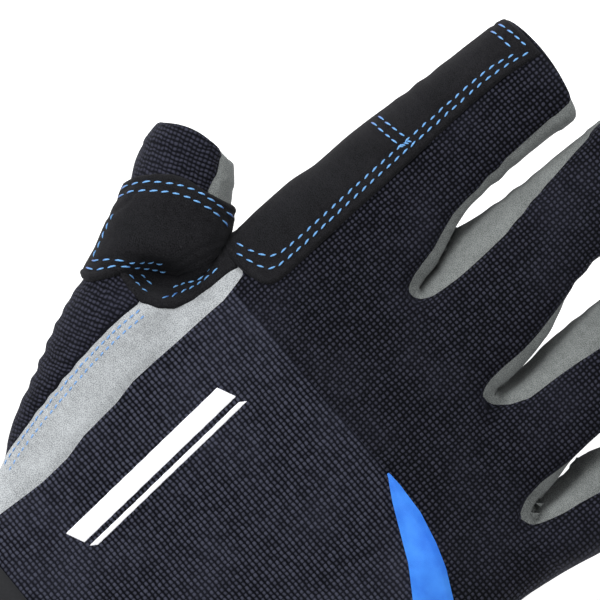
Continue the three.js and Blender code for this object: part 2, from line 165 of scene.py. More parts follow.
KNUCKLE = [
    (-100, 73.1), (8.6, 73.8), (12.7, 74), (19.7, 73.6), (26.4, 72), (31.8, 70.2), (38, 67.2),
    (46, 62.4), (63, 53.4), (75, 53), (75, 200), (-100, 200)]
# side strips between neighbouring fingers
FOURCHETTES = {
    ("index", "middle"): [
        (-26, 175), (-25.4, 152), (-24.6, 136), (-23.6, 126.6), (-22.7, 118.8), (-21.4, 114.9),
        (-19.9, 110.9), (-19.2, 107.2), (-18.4, 104.0), (-17.4, 101.9), (-16.0, 101.0),
        (-14.2, 102.0), (-13.1, 104.1), (-12.8, 107.0), (-12.6, 111.0), (-12.7, 114.9),
        (-12.9, 119.2), (-13.2, 124.3), (-14.3, 130), (-15.6, 137), (-17.9, 153.5), (-18, 175)],
    ("middle", "ring"): [
        (4.4, 175), (4.2, 150), (4.3, 135.0), (4.9, 129.4), (5.6, 126.1), (6.9, 120.7),
        (7.6, 116.6), (8.3, 111.2), (8.3, 106.7), (8.6, 102.5), (9.0, 100.9), (9.9, 99.2),
        (11.9, 99.6), (14.2, 102.4), (15.9, 106.0), (16.2, 110.5), (16.5, 115.0),
        (16.9, 119.4), (17.6, 124), (17.9, 135), (17.9, 175)],
    ("ring", "little"): [
        (29, 175), (30.5, 130), (31.9, 112), (32.5, 105), (32.2, 99.3), (31.9, 96.6),
        (32.5, 92.7), (34.0, 89.0), (36.3, 90), (37.9, 93.3), (39, 96.8), (39.6, 100.6),
        (40.5, 104.6), (42.4, 114), (45, 130), (50, 175)],
}
THUMB_GREY = [
    (-64, 100), (-63.1, 89.2), (-61.0, 86.5), (-59.2, 82.5), (-55, 79), (-49, 74), (-46, 76),
    (-44, 100)]
THUMB_PATCH = [
    (-70.6, 68.5), (-71.4, 70.8), (-70.8, 73.7), (-68.9, 76.8), (-66.5, 79.4), (-64.0, 80.9),
    (-61.2, 81.7), (-59.3, 82.2), (-57.1, 83.1), (-54.7, 84.2), (-51, 84.5), (-48.3, 80),
    (-47.2, 78.4), (-47.9, 75.2), (-49.1, 71.7), (-49.8, 67.4), (-51.1, 66.5), (-54.0, 64.0),
    (-56.2, 61.7), (-57.3, 59.1), (-58.2, 56.4), (-59.5, 53.7), (-60.6, 51.9), (-61.9, 51.0),
    (-63.6, 51.0), (-65.4, 52.6), (-68, 56.5), (-71, 62)]
WEB_PATCH = [
    (-58.6, 57.4), (-54.3, 57.0), (-50.7, 57.2), (-47.6, 59.0), (-45.2, 61.6), (-43.9, 65.8),
    (-43.4, 70.5), (-43.5, 74.4), (-43.2, 77.2), (-48.6, 79.2), (-50.5, 76.5), (-54, 71.5),
    (-58.4, 65)]
INDEX_PATCH = [
    (-52, 80.8), (-50.6, 79.2), (-47.9, 77.6), (-45.3, 77.1), (-42.5, 77.4), (-40.0, 77.9),
    (-37.6, 78.8), (-36.1, 80.2), (-35.6, 82.2), (-35.6, 85), (-36.4, 100), (-37.2, 120),
    (-38.1, 135), (-38.0, 145), (-37.2, 150), (-36.6, 153.9), (-66, 153.9), (-66, 100),
    (-55, 90), (-52.6, 85)]
REINFORCEMENT = [
    (-30, 12), (-12, 7), (18, 7), (32, 14), (38, 40), (40, 66), (34, 84), (12, 90), (-24, 90),
    (-38, 82), (-40, 62), (-38, 36)]
for _ in range(3):      # corners cut back until they are round
    REINFORCEMENT = [(a[0] * t + b[0] * (1 - t), a[1] * t + b[1] * (1 - t))
                     for a, b in zip(REINFORCEMENT, REINFORCEMENT[1:] + REINFORCEMENT[:1])
                     for t in (0.75, 0.25)]

# layers sewn on top: lowest and highest height over the form, insets of the stitched grooves
Layer = namedtuple("Layer", "low high grooves", defaults=((),))
INDEX_LAYER = Layer(0.1, 1.15, (1.6, 3.5))
THUMB_LAYER = Layer(0.35, 1.5, (1.6, 3.4))
WEB_LAYER = Layer(0.1, 1.0, (1.7, 3.5))
# wrist strap: its edges in y, and x where it leaves its anchor
STRAP_LOW, STRAP_HIGH, STRAP_ROOT = -34, -10, 27
STRAP_MIDDLE = (STRAP_LOW + STRAP_HIGH) / 2
STRAP_CORNER = 6.0                      # radius at the free end
HOOK_MARGIN = 1.4                       # from the strap's edges to the hook tape


# ---------------------------------------------------------------- small numeric helpers
def step(value, start, width):
    """0 to 1 from start over width; a negative width runs the other way"""
    return np.clip((value - start) / width, 0, 1)


def bell(value, centre, width, power=2):
    return np.exp(-((value - centre) / width) ** power)


def blur(values, sigma):
    reach = int(sigma * 4)
    kernel = np.exp(-0.5 * (np.arange(-reach, reach + 1) / sigma) ** 2)
    return np.convolve(np.pad(values, reach, mode="edge"), kernel / kernel.sum(), "valid")


def unit(vectors):
    return vectors / np.maximum(np.linalg.norm(vectors, axis=1, keepdims=True), 1e-9)


def smin(a, b, blend):
    share = np.clip(0.5 + 0.5 * (b - a) / blend, 0, 1)
    return b + (a - b) * share - blend * share * (1 - share)


def smax(a, b, blend):
    return -smin(-a, -b, blend)


def noise(points, scale, seed):
    """smooth value noise, -1 to 1"""
    scaled = points / scale
    cell = np.floor(scaled).astype(np.int64)
    part = scaled - cell
    part = part * part * (3 - 2 * part)

    def corner_value(x, y, z):
        bits = (x * 73856093) ^ (y * 19349663) ^ (z * 83492791) ^ (seed * 2654435761)
        bits = (bits ^ (bits >> 13)) * 1274126177
        return ((bits ^ (bits >> 16)) & 0xFFFF) / 32767.5 - 1

    total = 0
    for corner in np.ndindex(2, 2, 2):
        weight = 1
        for k in range(3):
            weight = weight * (part[:, k] if corner[k] else 1 - part[:, k])
        total = total + weight * corner_value(*(cell + corner).T)
    return total


# ---------------------------------------------------------------- implicit form
def profile(rows):
    """stations filled in every half mm and smoothed"""
    rows = np.array(rows, float)
    along = np.arange(rows[0, 0], rows[-1, 0] + 0.25, 0.5)
    return along, [blur(np.interp(along, rows[:, 0], rows[:, k]), 5) for k in (1, 2, 3)]


PROFILES = {name: profile(rows) for name, rows in SECTIONS.items()}


def section_at(name, place):
    """centre, half width and half height"""
    along, columns = PROFILES[name]
    return [np.interp(place, along, column) for column in columns]


def section(dx, dz, half_width, half_height, power, left_power):
    """distance to a superellipse"""
    if left_power is not None:
        power = left_power + (power - left_power) * np.clip(0.5 + dx / 6, 0, 1)
    ax, az = np.abs(dx) / half_width, np.abs(dz) / half_height
    level = np.maximum((ax ** power + az ** power) ** (1 / power), 1e-3)
    slope = np.sqrt((ax ** (power - 1) / half_width) ** 2
                    + (az ** (power - 1) / half_height) ** 2) * level ** (1 - power)
    return np.clip((level - 1) / np.maximum(slope, 1e-4), -30, 80)


def turned(name, x, y):
    """distance along a turned limb, and offset to the thumb side"""
    start, way = LINES[name]
    dx, dy = x - start[0], y - start[1]
    return dx * way[0] + dy * way[1], -(dx * way[1] - dy * way[0])


def limb(name, x, y, z):
    """distance to a limb's tube, and place along it"""
    along, across = turned(name, x, y) if name in LINES else (y, x)
    centre, half_width, half_height = section_at(name, along)
    dx = centre - across if name == "little" else across - centre
    dz = z - (LIMB_FLOOR + half_height)
    return section(dx, dz, half_width, half_height, *ROUNDNESS[name]), along


def slot_x(slot, y, z):
    """x of a slot's middle: it leans under the finger on the thumb side, to close the view"""
    lean = 0.26 * step(y, SLOT_UPRIGHT[slot], -9)
    return np.interp(y, SLOTS[slot][:, 1], SLOTS[slot][:, 0]) + lean * (z - 14)


def carve(slot, x, y, z):
    dx = np.abs(x - slot_x(slot, y, z))
    width = np.interp(y, SLOTS[slot][:, 1], SLOTS[slot][:, 2])
    if slot == 1:       # room for the middle finger's side wall when it bends past the ring
        width = width + 0.6 * step(z, 12.5, -4) * step(y, 106, 6)
    before = np.maximum(SLOTS[slot][0, 1] - y, 0)
    return width - np.sqrt(dx * dx + before * before)


def web_hollow(x, y, z):
    """ellipsoid hollow between thumb and index finger, turned in plan"""
    dx, dy = x + 51.5, y - 64.5
    long_way, short_way = dx * 0.80 + dy * 0.60, -dx * 0.60 + dy * 0.80
    return 5.5 * (1 - np.sqrt((long_way / 9.5) ** 2 + (short_way / 5.2) ** 2
                              + ((z - 27.5) / 12.0) ** 2))


def field(points):
    """about the signed distance to the hand form in mm, positive outside"""
    x, y, z = points.T
    form, _ = limb("palm", x, y, z)
    form = smax(form, y - np.interp(x, *PALM_FRONT), blend=6)
    for finger in FINGERS:
        tube, along = limb(finger, x, y, z)
        start = TURNED_START - along if finger == "little" else FINGER_START[finger] - y
        form = smin(form, smax(tube, start, blend=8), blend=3.2)
    for slot in range(3):
        form = smax(form, carve(slot, x, y, z), blend=1.2)
    tube, along = limb("thumb", x, y, z)
    form = smin(form, smax(tube, TURNED_START - along, blend=6), blend=3.0)
    form = smax(form, web_hollow(x, y, z), blend=3.0)
    return smax(form, UNDERSIDE - z, blend=1.6)


def gradient(points):
    reach = 0.15
    return np.stack([field(points + shift) - field(points - shift)
                     for shift in np.eye(3) * reach], 1) / (2 * reach)


def project(points):
    """one step towards the surface"""
    value, slope = field(points), gradient(points)
    return points - (value / np.maximum((slope * slope).sum(1), 0.2))[:, None] * slope


# ---------------------------------------------------------------- mesh of the form
# inset is each point's distance inside the outline it was cut by
Sheet = namedtuple("Sheet", "points tris normals inset")


def surface():
    """surface net: one point for each grid cell that the surface crosses"""
    low, high = np.array([-84.0, -50.0, -2.0]), np.array([62.0, 163.0, 38.0])
    size = np.ceil((high - low) / CELL).astype(int) + 1
    axes = [low[k] + CELL * np.arange(size[k]) for k in range(3)]
    values = np.empty(size, np.float32)
    y, z = np.meshgrid(axes[1], axes[2], indexing="ij")
    for i, x in enumerate(axes[0]):
        plane = np.stack([np.full(y.size, x), y.ravel(), z.ravel()], 1)
        values[i] = field(plane).reshape(y.shape)
    values[values == 0] = 1e-5
    cells = size - 1
    total = int(np.prod(cells))
    sums, hits = np.zeros((total, 3)), np.zeros(total)
    quads = []
    for axis in range(3):
        near, far = [slice(None)] * 3, [slice(None)] * 3
        near[axis], far[axis] = slice(0, -1), slice(1, None)
        near_values, far_values = values[tuple(near)], values[tuple(far)]
        crossed = np.argwhere((near_values < 0) != (far_values < 0))
        near_values = near_values[tuple(crossed.T)]
        far_values = far_values[tuple(crossed.T)]
        places = crossed.astype(float)
        places[:, axis] += near_values / (near_values - far_values)
        corners, whole = [], np.ones(len(crossed), bool)
        for shift, other_shift in ((0, 0), (-1, 0), (-1, -1), (0, -1)):
            cell = crossed.copy()
            cell[:, (axis + 1) % 3] += shift
            cell[:, (axis + 2) % 3] += other_shift
            good = np.all((cell >= 0) & (cell < cells), axis=1)
            index = (cell[:, 0] * cells[1] + cell[:, 1]) * cells[2] + cell[:, 2]
            for k in range(3):
                sums[:, k] += np.bincount(index[good], places[good, k], total)
            hits += np.bincount(index[good], minlength=total)
            corners.append(index)
            whole &= good
        quad = np.stack(corners, 1)[whole]
        flip = (near_values > 0)[whole]
        quad[flip] = quad[flip][:, ::-1]
        quads.append(quad)
    used = hits > 0
    number = -np.ones(total, np.int64)
    number[used] = np.arange(used.sum())
    points = low + CELL * sums[used] / hits[used][:, None]
    quads = number[np.concatenate(quads)]
    for _ in range(4):
        points = project(points)
    # each quad is split along its shorter diagonal
    first = np.linalg.norm(points[quads[:, 0]] - points[quads[:, 2]], axis=1)
    second = np.linalg.norm(points[quads[:, 1]] - points[quads[:, 3]], axis=1)
    one, two = quads[first <= second], quads[first > second]
    tris = np.concatenate([one[:, [0, 1, 2]], one[:, [0, 2, 3]],
                           two[:, [0, 1, 3]], two[:, [1, 2, 3]]])
    return Sheet(points, tris, unit(gradient(points)), np.zeros(len(points)))


def tri_edges(tris):
    return np.concatenate([tris[:, [0, 1]], tris[:, [1, 2]], tris[:, [2, 0]]])


def numbered_edges(edges):
    """the different edges, and which of them each given edge is"""
    different, which = np.unique(np.sort(edges, 1), axis=0, return_inverse=True)
    return different, which.ravel()


def subdivide(sheet):
    points, tris, normals, _ = sheet
    edges, which = numbered_edges(tri_edges(tris))
    middles = project((points[edges[:, 0]] + points[edges[:, 1]]) / 2)
    a, b, c = which.reshape(3, -1) + len(points)
    tris = np.concatenate([
        np.stack([tris[:, 0], a, c], 1), np.stack([a, tris[:, 1], b], 1),
        np.stack([c, b, tris[:, 2]], 1), np.stack([a, b, c], 1)])
    points = np.concatenate([points, middles])
    normals = np.concatenate([normals, unit(gradient(middles))])
    return Sheet(points, tris, normals, np.zeros(len(points)))


def compact(sheet, tris):
    """the given triangles with only the points they use"""
    used = np.unique(tris)
    number = -np.ones(len(sheet.points), np.int64)
    number[used] = np.arange(len(used))
    return Sheet(sheet.points[used], number[tris], sheet.normals[used], sheet.inset[used])


def clip(sheet, boundary):
    """keeps the part where boundary(x, y, z) > 0"""
    level = boundary(*sheet.points.T)
    level = np.where(np.abs(level) < 0.02, 0.02 * np.where(level < 0, -1, 1), level)
    points, tris, normals, inset = sheet
    within = level[tris] > 0
    kept_corners = within.sum(1)
    faces = [tris[kept_corners == 3]]
    cuts = []
    for kept in (1, 2):
        chosen = kept_corners == kept
        cut, corner_in = tris[chosen], within[chosen]
        if len(cut):
            lone = np.argmax(corner_in if kept == 1 else ~corner_in, axis=1)
            corners = [cut[np.arange(len(cut)), (lone + k) % 3] for k in range(3)]
            cuts.append((kept, *corners))
    if cuts:
        edges, which = numbered_edges(np.concatenate(
            [np.stack([lone, other], 1) for _, lone, *others in cuts for other in others]))
        which = which + len(points)
        a, b = edges.T
        share = level[a] / (level[a] - level[b])

        def extended(values, share, finish=lambda added: added):
            added = values[a] + (values[b] - values[a]) * share
            return np.concatenate([values, finish(added)])

        points = extended(points, share[:, None])
        normals = extended(normals, share[:, None], unit)
        inset = extended(inset, share)
        done = 0
        for kept, lone, second, third in cuts:
            count = len(lone)
            to_second = which[done:done + count]
            to_third = which[done + count:done + 2 * count]
            done += 2 * count
            if kept == 1:
                faces.append(np.stack([lone, to_second, to_third], 1))
            else:
                faces.append(np.stack([to_second, second, third], 1))
                faces.append(np.stack([to_second, third, to_third], 1))
    return compact(Sheet(points, None, normals, inset), np.concatenate(faces))


def drop_specks(sheet, least=14):
    """leaves out stray scraps that a cut can leave beside a seam"""
    tris = sheet.tris
    count = len(sheet.points)
    label = np.arange(count)
    while True:
        new = label.copy()
        np.minimum.at(new, tris.ravel(), np.repeat(label[tris].min(1), 3))
        new = new[new]
        if (new == label).all():
            break
        label = new
    sizes = np.bincount(label[tris[:, 0]], minlength=count)
    keep = sizes[label[tris[:, 0]]] >= least
    return sheet if keep.all() else compact(sheet, tris[keep])


# ---------------------------------------------------------------- boundaries of (x, y, z)
def more(axis, limit):
    return lambda *point: point[axis] - limit


def less(axis, limit):
    return lambda *point: limit - point[axis]


def negative(boundary):
    return lambda x, y, z: -boundary(x, y, z)


def outline_distance(outline, x, y):
    """signed distance to a polygon in plan, positive inside"""
    corners = np.array(outline, float)
    nearest = np.full(x.shape, 1e9)
    within = np.zeros(x.shape, bool)
    for a, b in zip(corners, np.roll(corners, -1, axis=0)):
        side = b - a
        share = np.clip(((x - a[0]) * side[0] + (y - a[1]) * side[1]) / (side @ side), 0, 1)
        dx, dy = x - a[0] - share * side[0], y - a[1] - share * side[1]
        nearest = np.minimum(nearest, dx * dx + dy * dy)
        crossing = a[0] + (y - a[1]) * side[0] / (side[1] if side[1] else 1e-12)
        within ^= ((a[1] > y) != (b[1] > y)) & (x < crossing)
    distance = np.sqrt(nearest)
    return np.where(within, distance, -distance)


def inside(outline):
    return lambda x, y, z: outline_distance(outline, x, y)


def outside(*outlines):
    return [negative(inside(outline)) for outline in outlines]


def rims(x, y, z):
    """distance inside the nearest open end"""
    along, across = turned("thumb", x, y)
    long_tips = (tip - 0.012 * (x - crown) ** 2 - y for crown, tip in TIPS.values())
    tip = by_finger(x, y, z, *long_tips, LITTLE_TIP - turned("little", x, y)[0])
    tip = np.where((y < 84) | (x < -55), 99.0, tip)
    on_thumb = (along > 30) & (x < -50.5 - 0.06 * (y - 88))
    thumb = THUMB_TIP - 0.028 * np.clip(across - 1, -9, 9) ** 2 - along
    return np.minimum(np.minimum(tip, np.where(on_thumb, thumb, 99.0)), y - CUFF_END)


# ---------------------------------------------------------------- zones, one per moving body
def by_finger(x, y, z, index, middle, ring, little):
    """picks the value of the finger that each point lies on"""
    first, second, third = (slot_x(slot, y, z) for slot in range(3))
    return np.where(x < first, index, np.where(x < second, middle,
                                               np.where(x < third, ring, little)))


def past_slot(slot):
    return lambda x, y, z: x - slot_x(slot, y, z)


def past_little(limit):
    return lambda x, y, z: turned("little", x, y)[0] - limit


def finger_sides(finger):
    low, high = FINGER_SLOTS[finger]
    sides = [] if low is None else [past_slot(low)]
    return sides + ([] if high is None else [negative(past_slot(high))])


def thumb_zone(x, y, z):
    along, across = turned("thumb", x, y)
    return np.minimum(along - THUMB_CUT, across + 16.2)


def root_line(x, y, z):
    """positive on the hand side of every finger root"""
    return by_finger(x, y, z, *(ROOT[finger] - y for finger in LONG_FINGERS),
                     LITTLE_ROOT - turned("little", x, y)[0])


# every zone but the hand, with the boundaries that close it in
ZONES = {}
for finger in LONG_FINGERS:
    cut = MID[finger] - 10.5
    sides = finger_sides(finger)
    ZONES[finger + "_base"] = sides + [more(Y, ROOT[finger]), less(Y, cut)]
    ZONES[finger + "_tip"] = sides + [more(Y, cut)]
sides = finger_sides("little")
ZONES["little_base"] = sides + [past_little(LITTLE_ROOT), negative(past_little(LITTLE_CUT))]
ZONES["little_tip"] = sides + [past_little(LITTLE_CUT)]
ZONES["thumb"] = [thumb_zone]
THUMB_LIMIT = 96        # the thumb zone stops at this y, short of the index finger


def split(sheet):
    """cuts a sheet into its zones"""
    beyond = clip(sheet, negative(root_line))
    parts = {"hand": clip(clip(sheet, root_line), negative(thumb_zone))}
    for zone, boundaries in ZONES.items():
        part = clip(sheet, less(Y, THUMB_LIMIT)) if zone == "thumb" else beyond
        for boundary in boundaries:
            part = clip(part, boundary)
        parts[zone] = part
    return {zone: part for zone, part in parts.items() if len(part.tris) >= 4}


def zones_of(points):
    x, y, z = points.T
    names = np.full(len(points), "hand", dtype=object)
    for zone, boundaries in ZONES.items():
        match = y < THUMB_LIMIT if zone == "thumb" else np.ones(len(points), bool)
        for boundary in boundaries:
            match = match & (boundary(x, y, z) > 0)
        names[match] = zone
    return names


def on_line(name, distance):
    start, way = LINES[name]
    return tuple(start + way * distance) + (3,)


# zones across a joint from one body to the next; here they are baked in place and not bound to a
# body: both bodies, start and end of the bend
BLEND = {
    "strap_root": ("hand", "strap", (27.0, STRAP_MIDDLE, 32.5), (16.0, STRAP_MIDDLE, 33.5)),
    "thumb": ("hand", "thumb_tip", on_line("thumb", 50.2), on_line("thumb", 59.5)),
    "little_base": ("hand", "little_base", on_line("little", -0.6), on_line("little", 9)),
    "little_tip": ("little_base", "little_tip", on_line("little", 12.5), on_line("little", 26)),
}
# finger, x of its axis, y where the bend at the root starts and ends
for finger, x, start, end in (("index", -34, 102.2, 115), ("middle", -4, 102.2, 115),
                              ("ring", 21, 100.8, 112)):
    base, tip, joint = finger + "_base", finger + "_tip", MID[finger]
    BLEND[base] = ("hand", base, (x, start, 3), (x, end, 3))
    BLEND[tip] = (base, tip, (x, joint - 9.5, 3), (x, joint + 8, 3))


def world(point):
    return (point[0] * MM, (point[1] - REST_Y) * MM, point[2] * MM)


# ---------------------------------------------------------------- cloth relief and weave
def wrinkle(points, normals):
    """height of worn fabric over the form: unevenness, folds and gathers"""
    x, y, z = points.T
    calm = 1 - 0.72 * step(x, -30, -8) * step(y, 78, 6) - 0.6 * step(z, 4, -3)
    slow = 0.42 * noise(points, 17, 3) + 0.22 * noise(points, 7.5, 5)
    height = slow * np.maximum(calm, 0.1) + 0.07 * noise(points, 3.1, 9)
    # gathers on the thumb base
    along, _ = turned("thumb", x, y)
    gathers = np.sin(along * 1.45 + 1.3 * noise(points, 9, 21))
    gathers = gathers * (0.6 + 0.4 * noise(points, 8, 8))
    height = height + bell(along, 14, 15) * step(x, -40, -8) * 0.35 * gathers
    # folds at the middle joints
    for finger, centre, width in (("index", -34, 15), ("middle", -6, 13), ("ring", 21, 11)):
        joint = MID[finger]
        folds = np.sin((y - joint) * 1.1 + 1.5 * noise(points, 11, 31))
        height = height + 0.28 * bell(y, joint, 6) * bell(x, centre, width, power=4) * folds
    # the back of the hand runs slightly hollow between the knuckles and the wrist
    height = height - 0.5 * bell(y, 52, 18) * bell(x, 4, 26) * (z > 12)
    # a soft diagonal drag line from the knuckles to the side insert
    drag = np.sin((x * 0.80 + y * 0.60) * 0.42 + 1.2 * noise(points, 24, 12))
    return height + 0.22 * drag * bell(y, 84, 22) * bell(x, 22, 24) * (z > 12)


def weave(points):
    """unrolled coordinates in mm, across and along the fabric"""
    x, y, z = points.T
    across = x
    for finger, start in (("index", 88), ("middle", 88), ("ring", 86)):
        centre, _, half_height = section_at(finger, y)
        on_finger = np.ones(len(x), bool)
        for side in finger_sides(finger):
            on_finger &= side(x, y, z) > 0
        dx, dz = x - centre, LIMB_FLOOR + 2 * half_height - z
        around = np.sqrt(dx * dx + np.maximum(dz, 0) ** 2) - np.abs(dx)
        across = np.where(on_finger, x + step(y, start, 14) * np.sign(dx) * around, across)
    drop = np.maximum(26 - z, 0) * step(x, 20, 26)
    across = np.where((y < 88) & (x > 0), np.sqrt(np.maximum(x, 0) ** 2 + drop ** 2), across)
    thumb_along, thumb_across = turned("thumb", x, y)
    centre, _, half_height = section_at("thumb", thumb_along)
    on_thumb = outline_distance(THUMB_SIDE, x, y) > 0
    dx, dz = thumb_across - centre, np.maximum(LIMB_FLOOR + 2 * half_height - z, 0)
    across = np.where(on_thumb, np.sign(dx) * np.sqrt(dx * dx + dz * dz), across)
    along = np.where(on_thumb, thumb_along + 1.2 * noise(points, 14, 40), y)
    return np.stack([across, along], 1)


# ---------------------------------------------------------------- pieces
PIECES = {}


def add_piece(name, points, tris, uv, zone, material, nodes=()):
    """adds faces to the piece of that name; pieces are made into objects at the end"""
    piece = PIECES.setdefault(name, dict(points=[], tris=[], uv=[], count=0, zone=zone,
                                         material=material, nodes=set()))
    piece["points"].append(points)
    piece["tris"].append(tris + piece["count"])
    piece["uv"].append(uv)
    piece["count"] += len(points)
    piece["nodes"] |= set(nodes)


def closed(sheet, top, bottom):
    """a closed shell between two heights over the form"""
    points, tris, normals, _ = sheet
    count = len(points)
    edges = tri_edges(tris)
    key = edges[:, 0] * count + edges[:, 1]
    reverse = edges[:, 1] * count + edges[:, 0]
    a, b = edges[~np.isin(key, reverse)].T
    wall = np.concatenate([np.stack([b, a, a + count], 1),
                           np.stack([b, a + count, b + count], 1)])
    shell = np.concatenate([points + normals * top[:, None], points + normals * bottom[:, None]])
    return shell, np.concatenate([tris, tris[:, ::-1] + count, wall])


def layer_height(distance, layer):
    """rounded edge, slight swelling behind it, and grooves"""
    bulge = np.sqrt(np.maximum(1 - (1 - np.clip(distance, 0, 1)) ** 2, 0)) * 0.999
    height = layer.low + (layer.high - layer.low) * bulge + 0.16 * bell(distance, 5, 3)
    for groove in layer.grooves:
        height = height - 0.22 * bell(distance, groove, 0.45)
    return height


def cloth_heights(inset, fold, to_rim):
    """a panel dips at its seams and has a hem at the open ends"""
    top = fold - 0.5 * bell(inset, 0, 0.8) + 0.22 * bell(inset, 2.2, 1.3)
    top = top + 0.35 * step(to_rim, 5.5, -0.8) - 0.75 * step(to_rim, 0.9, -0.9) ** 2
    return top, np.minimum(fold - 1.05, top - 0.25)


def layer_heights(inset, fold, to_rim, layer):
    top = fold + layer_height(inset, layer) - 0.5 * step(to_rim, 0.7, -0.7) ** 2
    bottom = fold + layer.low - 0.15
    return np.maximum(top, bottom + 0.05), bottom


def cut_out(boundaries, rim, fine):
    """the part of the form inside all the boundaries, refined fine times"""
    near = np.ones(len(BASE.tris), bool)
    for boundary in boundaries:     # rough cut first, so that only what matters is refined
        near &= boundary(*BASE.points.T)[BASE.tris].max(1) > -1.5
    sheet = compact(BASE, BASE.tris[near])
    for _ in range(fine):
        sheet = subdivide(sheet)
    for boundary in boundaries:
        sheet = clip(sheet, boundary)
    inset = np.min([boundary(*sheet.points.T) for boundary in boundaries], axis=0)
    sheet = drop_specks(sheet._replace(inset=np.maximum(inset, 0)))
    return clip(sheet, rim) if rim else sheet


def panel(name, boundaries, material, nodes={}, layer=None, rim=rims, fine=0, rise=None,
          hand_zone="hand"):
    """one fabric piece per zone; nodes lists the CAD nodes that each zone's piece replaces"""
    for zone, part in split(cut_out(boundaries, rim, fine)).items():
        fold = wrinkle(part.points, part.normals)
        if rise:
            fold = fold + rise(part.points)
        to_rim = rim(*part.points.T) if rim else 99.0
        if layer:
            heights = layer_heights(part.inset, fold, to_rim, layer)
        else:
            heights = cloth_heights(part.inset, fold, to_rim)
        uv = weave(part.points)
        on_hand = zone == "hand"
        add_piece(name if on_hand else f"{zone}_{name}", *closed(part, *heights),
                  np.concatenate([uv, uv]), hand_zone if on_hand else zone, material,
                  nodes.get(zone, ()))


def overlay(name, boundaries, material, layer, nodes=None, rim=None, fine=1, **options):
    """a second layer on top; nodes defaults to the hand's node of the same name"""
    panel(name, boundaries, material, nodes or {"hand": [name]}, layer, rim, fine, **options)


# ---------------------------------------------------------------- stitches
# spacing, length, thread radius (mm), slant to the row (degrees), material
Stitch = namedtuple("Stitch", "pitch length radius slant thread",
                    defaults=(0.19, 9, "thread_blue"))
PLAIN = Stitch(pitch=2.1, length=1.6)
LONG = Stitch(pitch=2.3, length=1.55)
CLOSE = Stitch(pitch=1.7, length=1.35)
PALE = Stitch(pitch=1.6, length=1.2, radius=0.18, thread="thread_pale")
BAR = Stitch(pitch=0.7, length=1.15, slant=-38)
RINGS, SIDES = 7, 7                     # of a stitch's tube
PATH_STEP, PATH_BLUR = 0.4, 1.2         # mm along a row


def tube_tris():
    tris = []
    for i in range(RINGS - 1):
        for j in range(SIDES):
            a, b = i * SIDES + j, i * SIDES + (j + 1) % SIDES
            tris += [(a, a + SIDES, b), (b, a + SIDES, b + SIDES)]
    start, last = RINGS * SIDES, (RINGS - 1) * SIDES
    for j in range(SIDES):
        after = (j + 1) % SIDES
        tris += [(start, j, after), (start + 1, last + after, last + j)]
    return np.array(tris)


def tops(x, y):
    """points on the upper surface over x, y, and the normals there"""
    z = np.full(len(x), 38.0)
    live = np.ones(len(x), bool)
    for _ in range(76):
        value = field(np.stack([x, y, z], 1))
        live &= value > 0
        z = np.where(live, z - np.clip(value * 0.6, 0.03, 1.0), z)
        if not live.any():
            break
    points = np.stack([x, y, z], 1)
    for _ in range(3):
        value, slope = field(points), gradient(points)[:, 2]
        steep = np.where(np.abs(slope) < 0.35, np.where(slope < 0, -0.35, 0.35), slope)
        points[:, 2] -= value / steep
    return points, unit(gradient(points))


def travelled(path):
    return np.r_[0, np.cumsum(np.linalg.norm(np.diff(path, axis=0), axis=1))]


def smooth_path(corners):
    corners = np.array(corners, float)
    distance = travelled(corners)
    count = max(int(round(distance[-1] / PATH_STEP)), 1)
    places = np.linspace(0, distance[-1], count + 1)
    path = np.stack([np.interp(places, distance, corners[:, k]) for k in (0, 1)], 1)
    if len(path) > 8:
        order = np.arange(len(path))
        share = np.clip(np.minimum(order, order[::-1]) / 6, 0, 1)   # the ends stay in place
        for k in (0, 1):
            soft = blur(path[:, k], PATH_BLUR / PATH_STEP)
            path[:, k] = path[:, k] * (1 - share) + soft * share
    return path


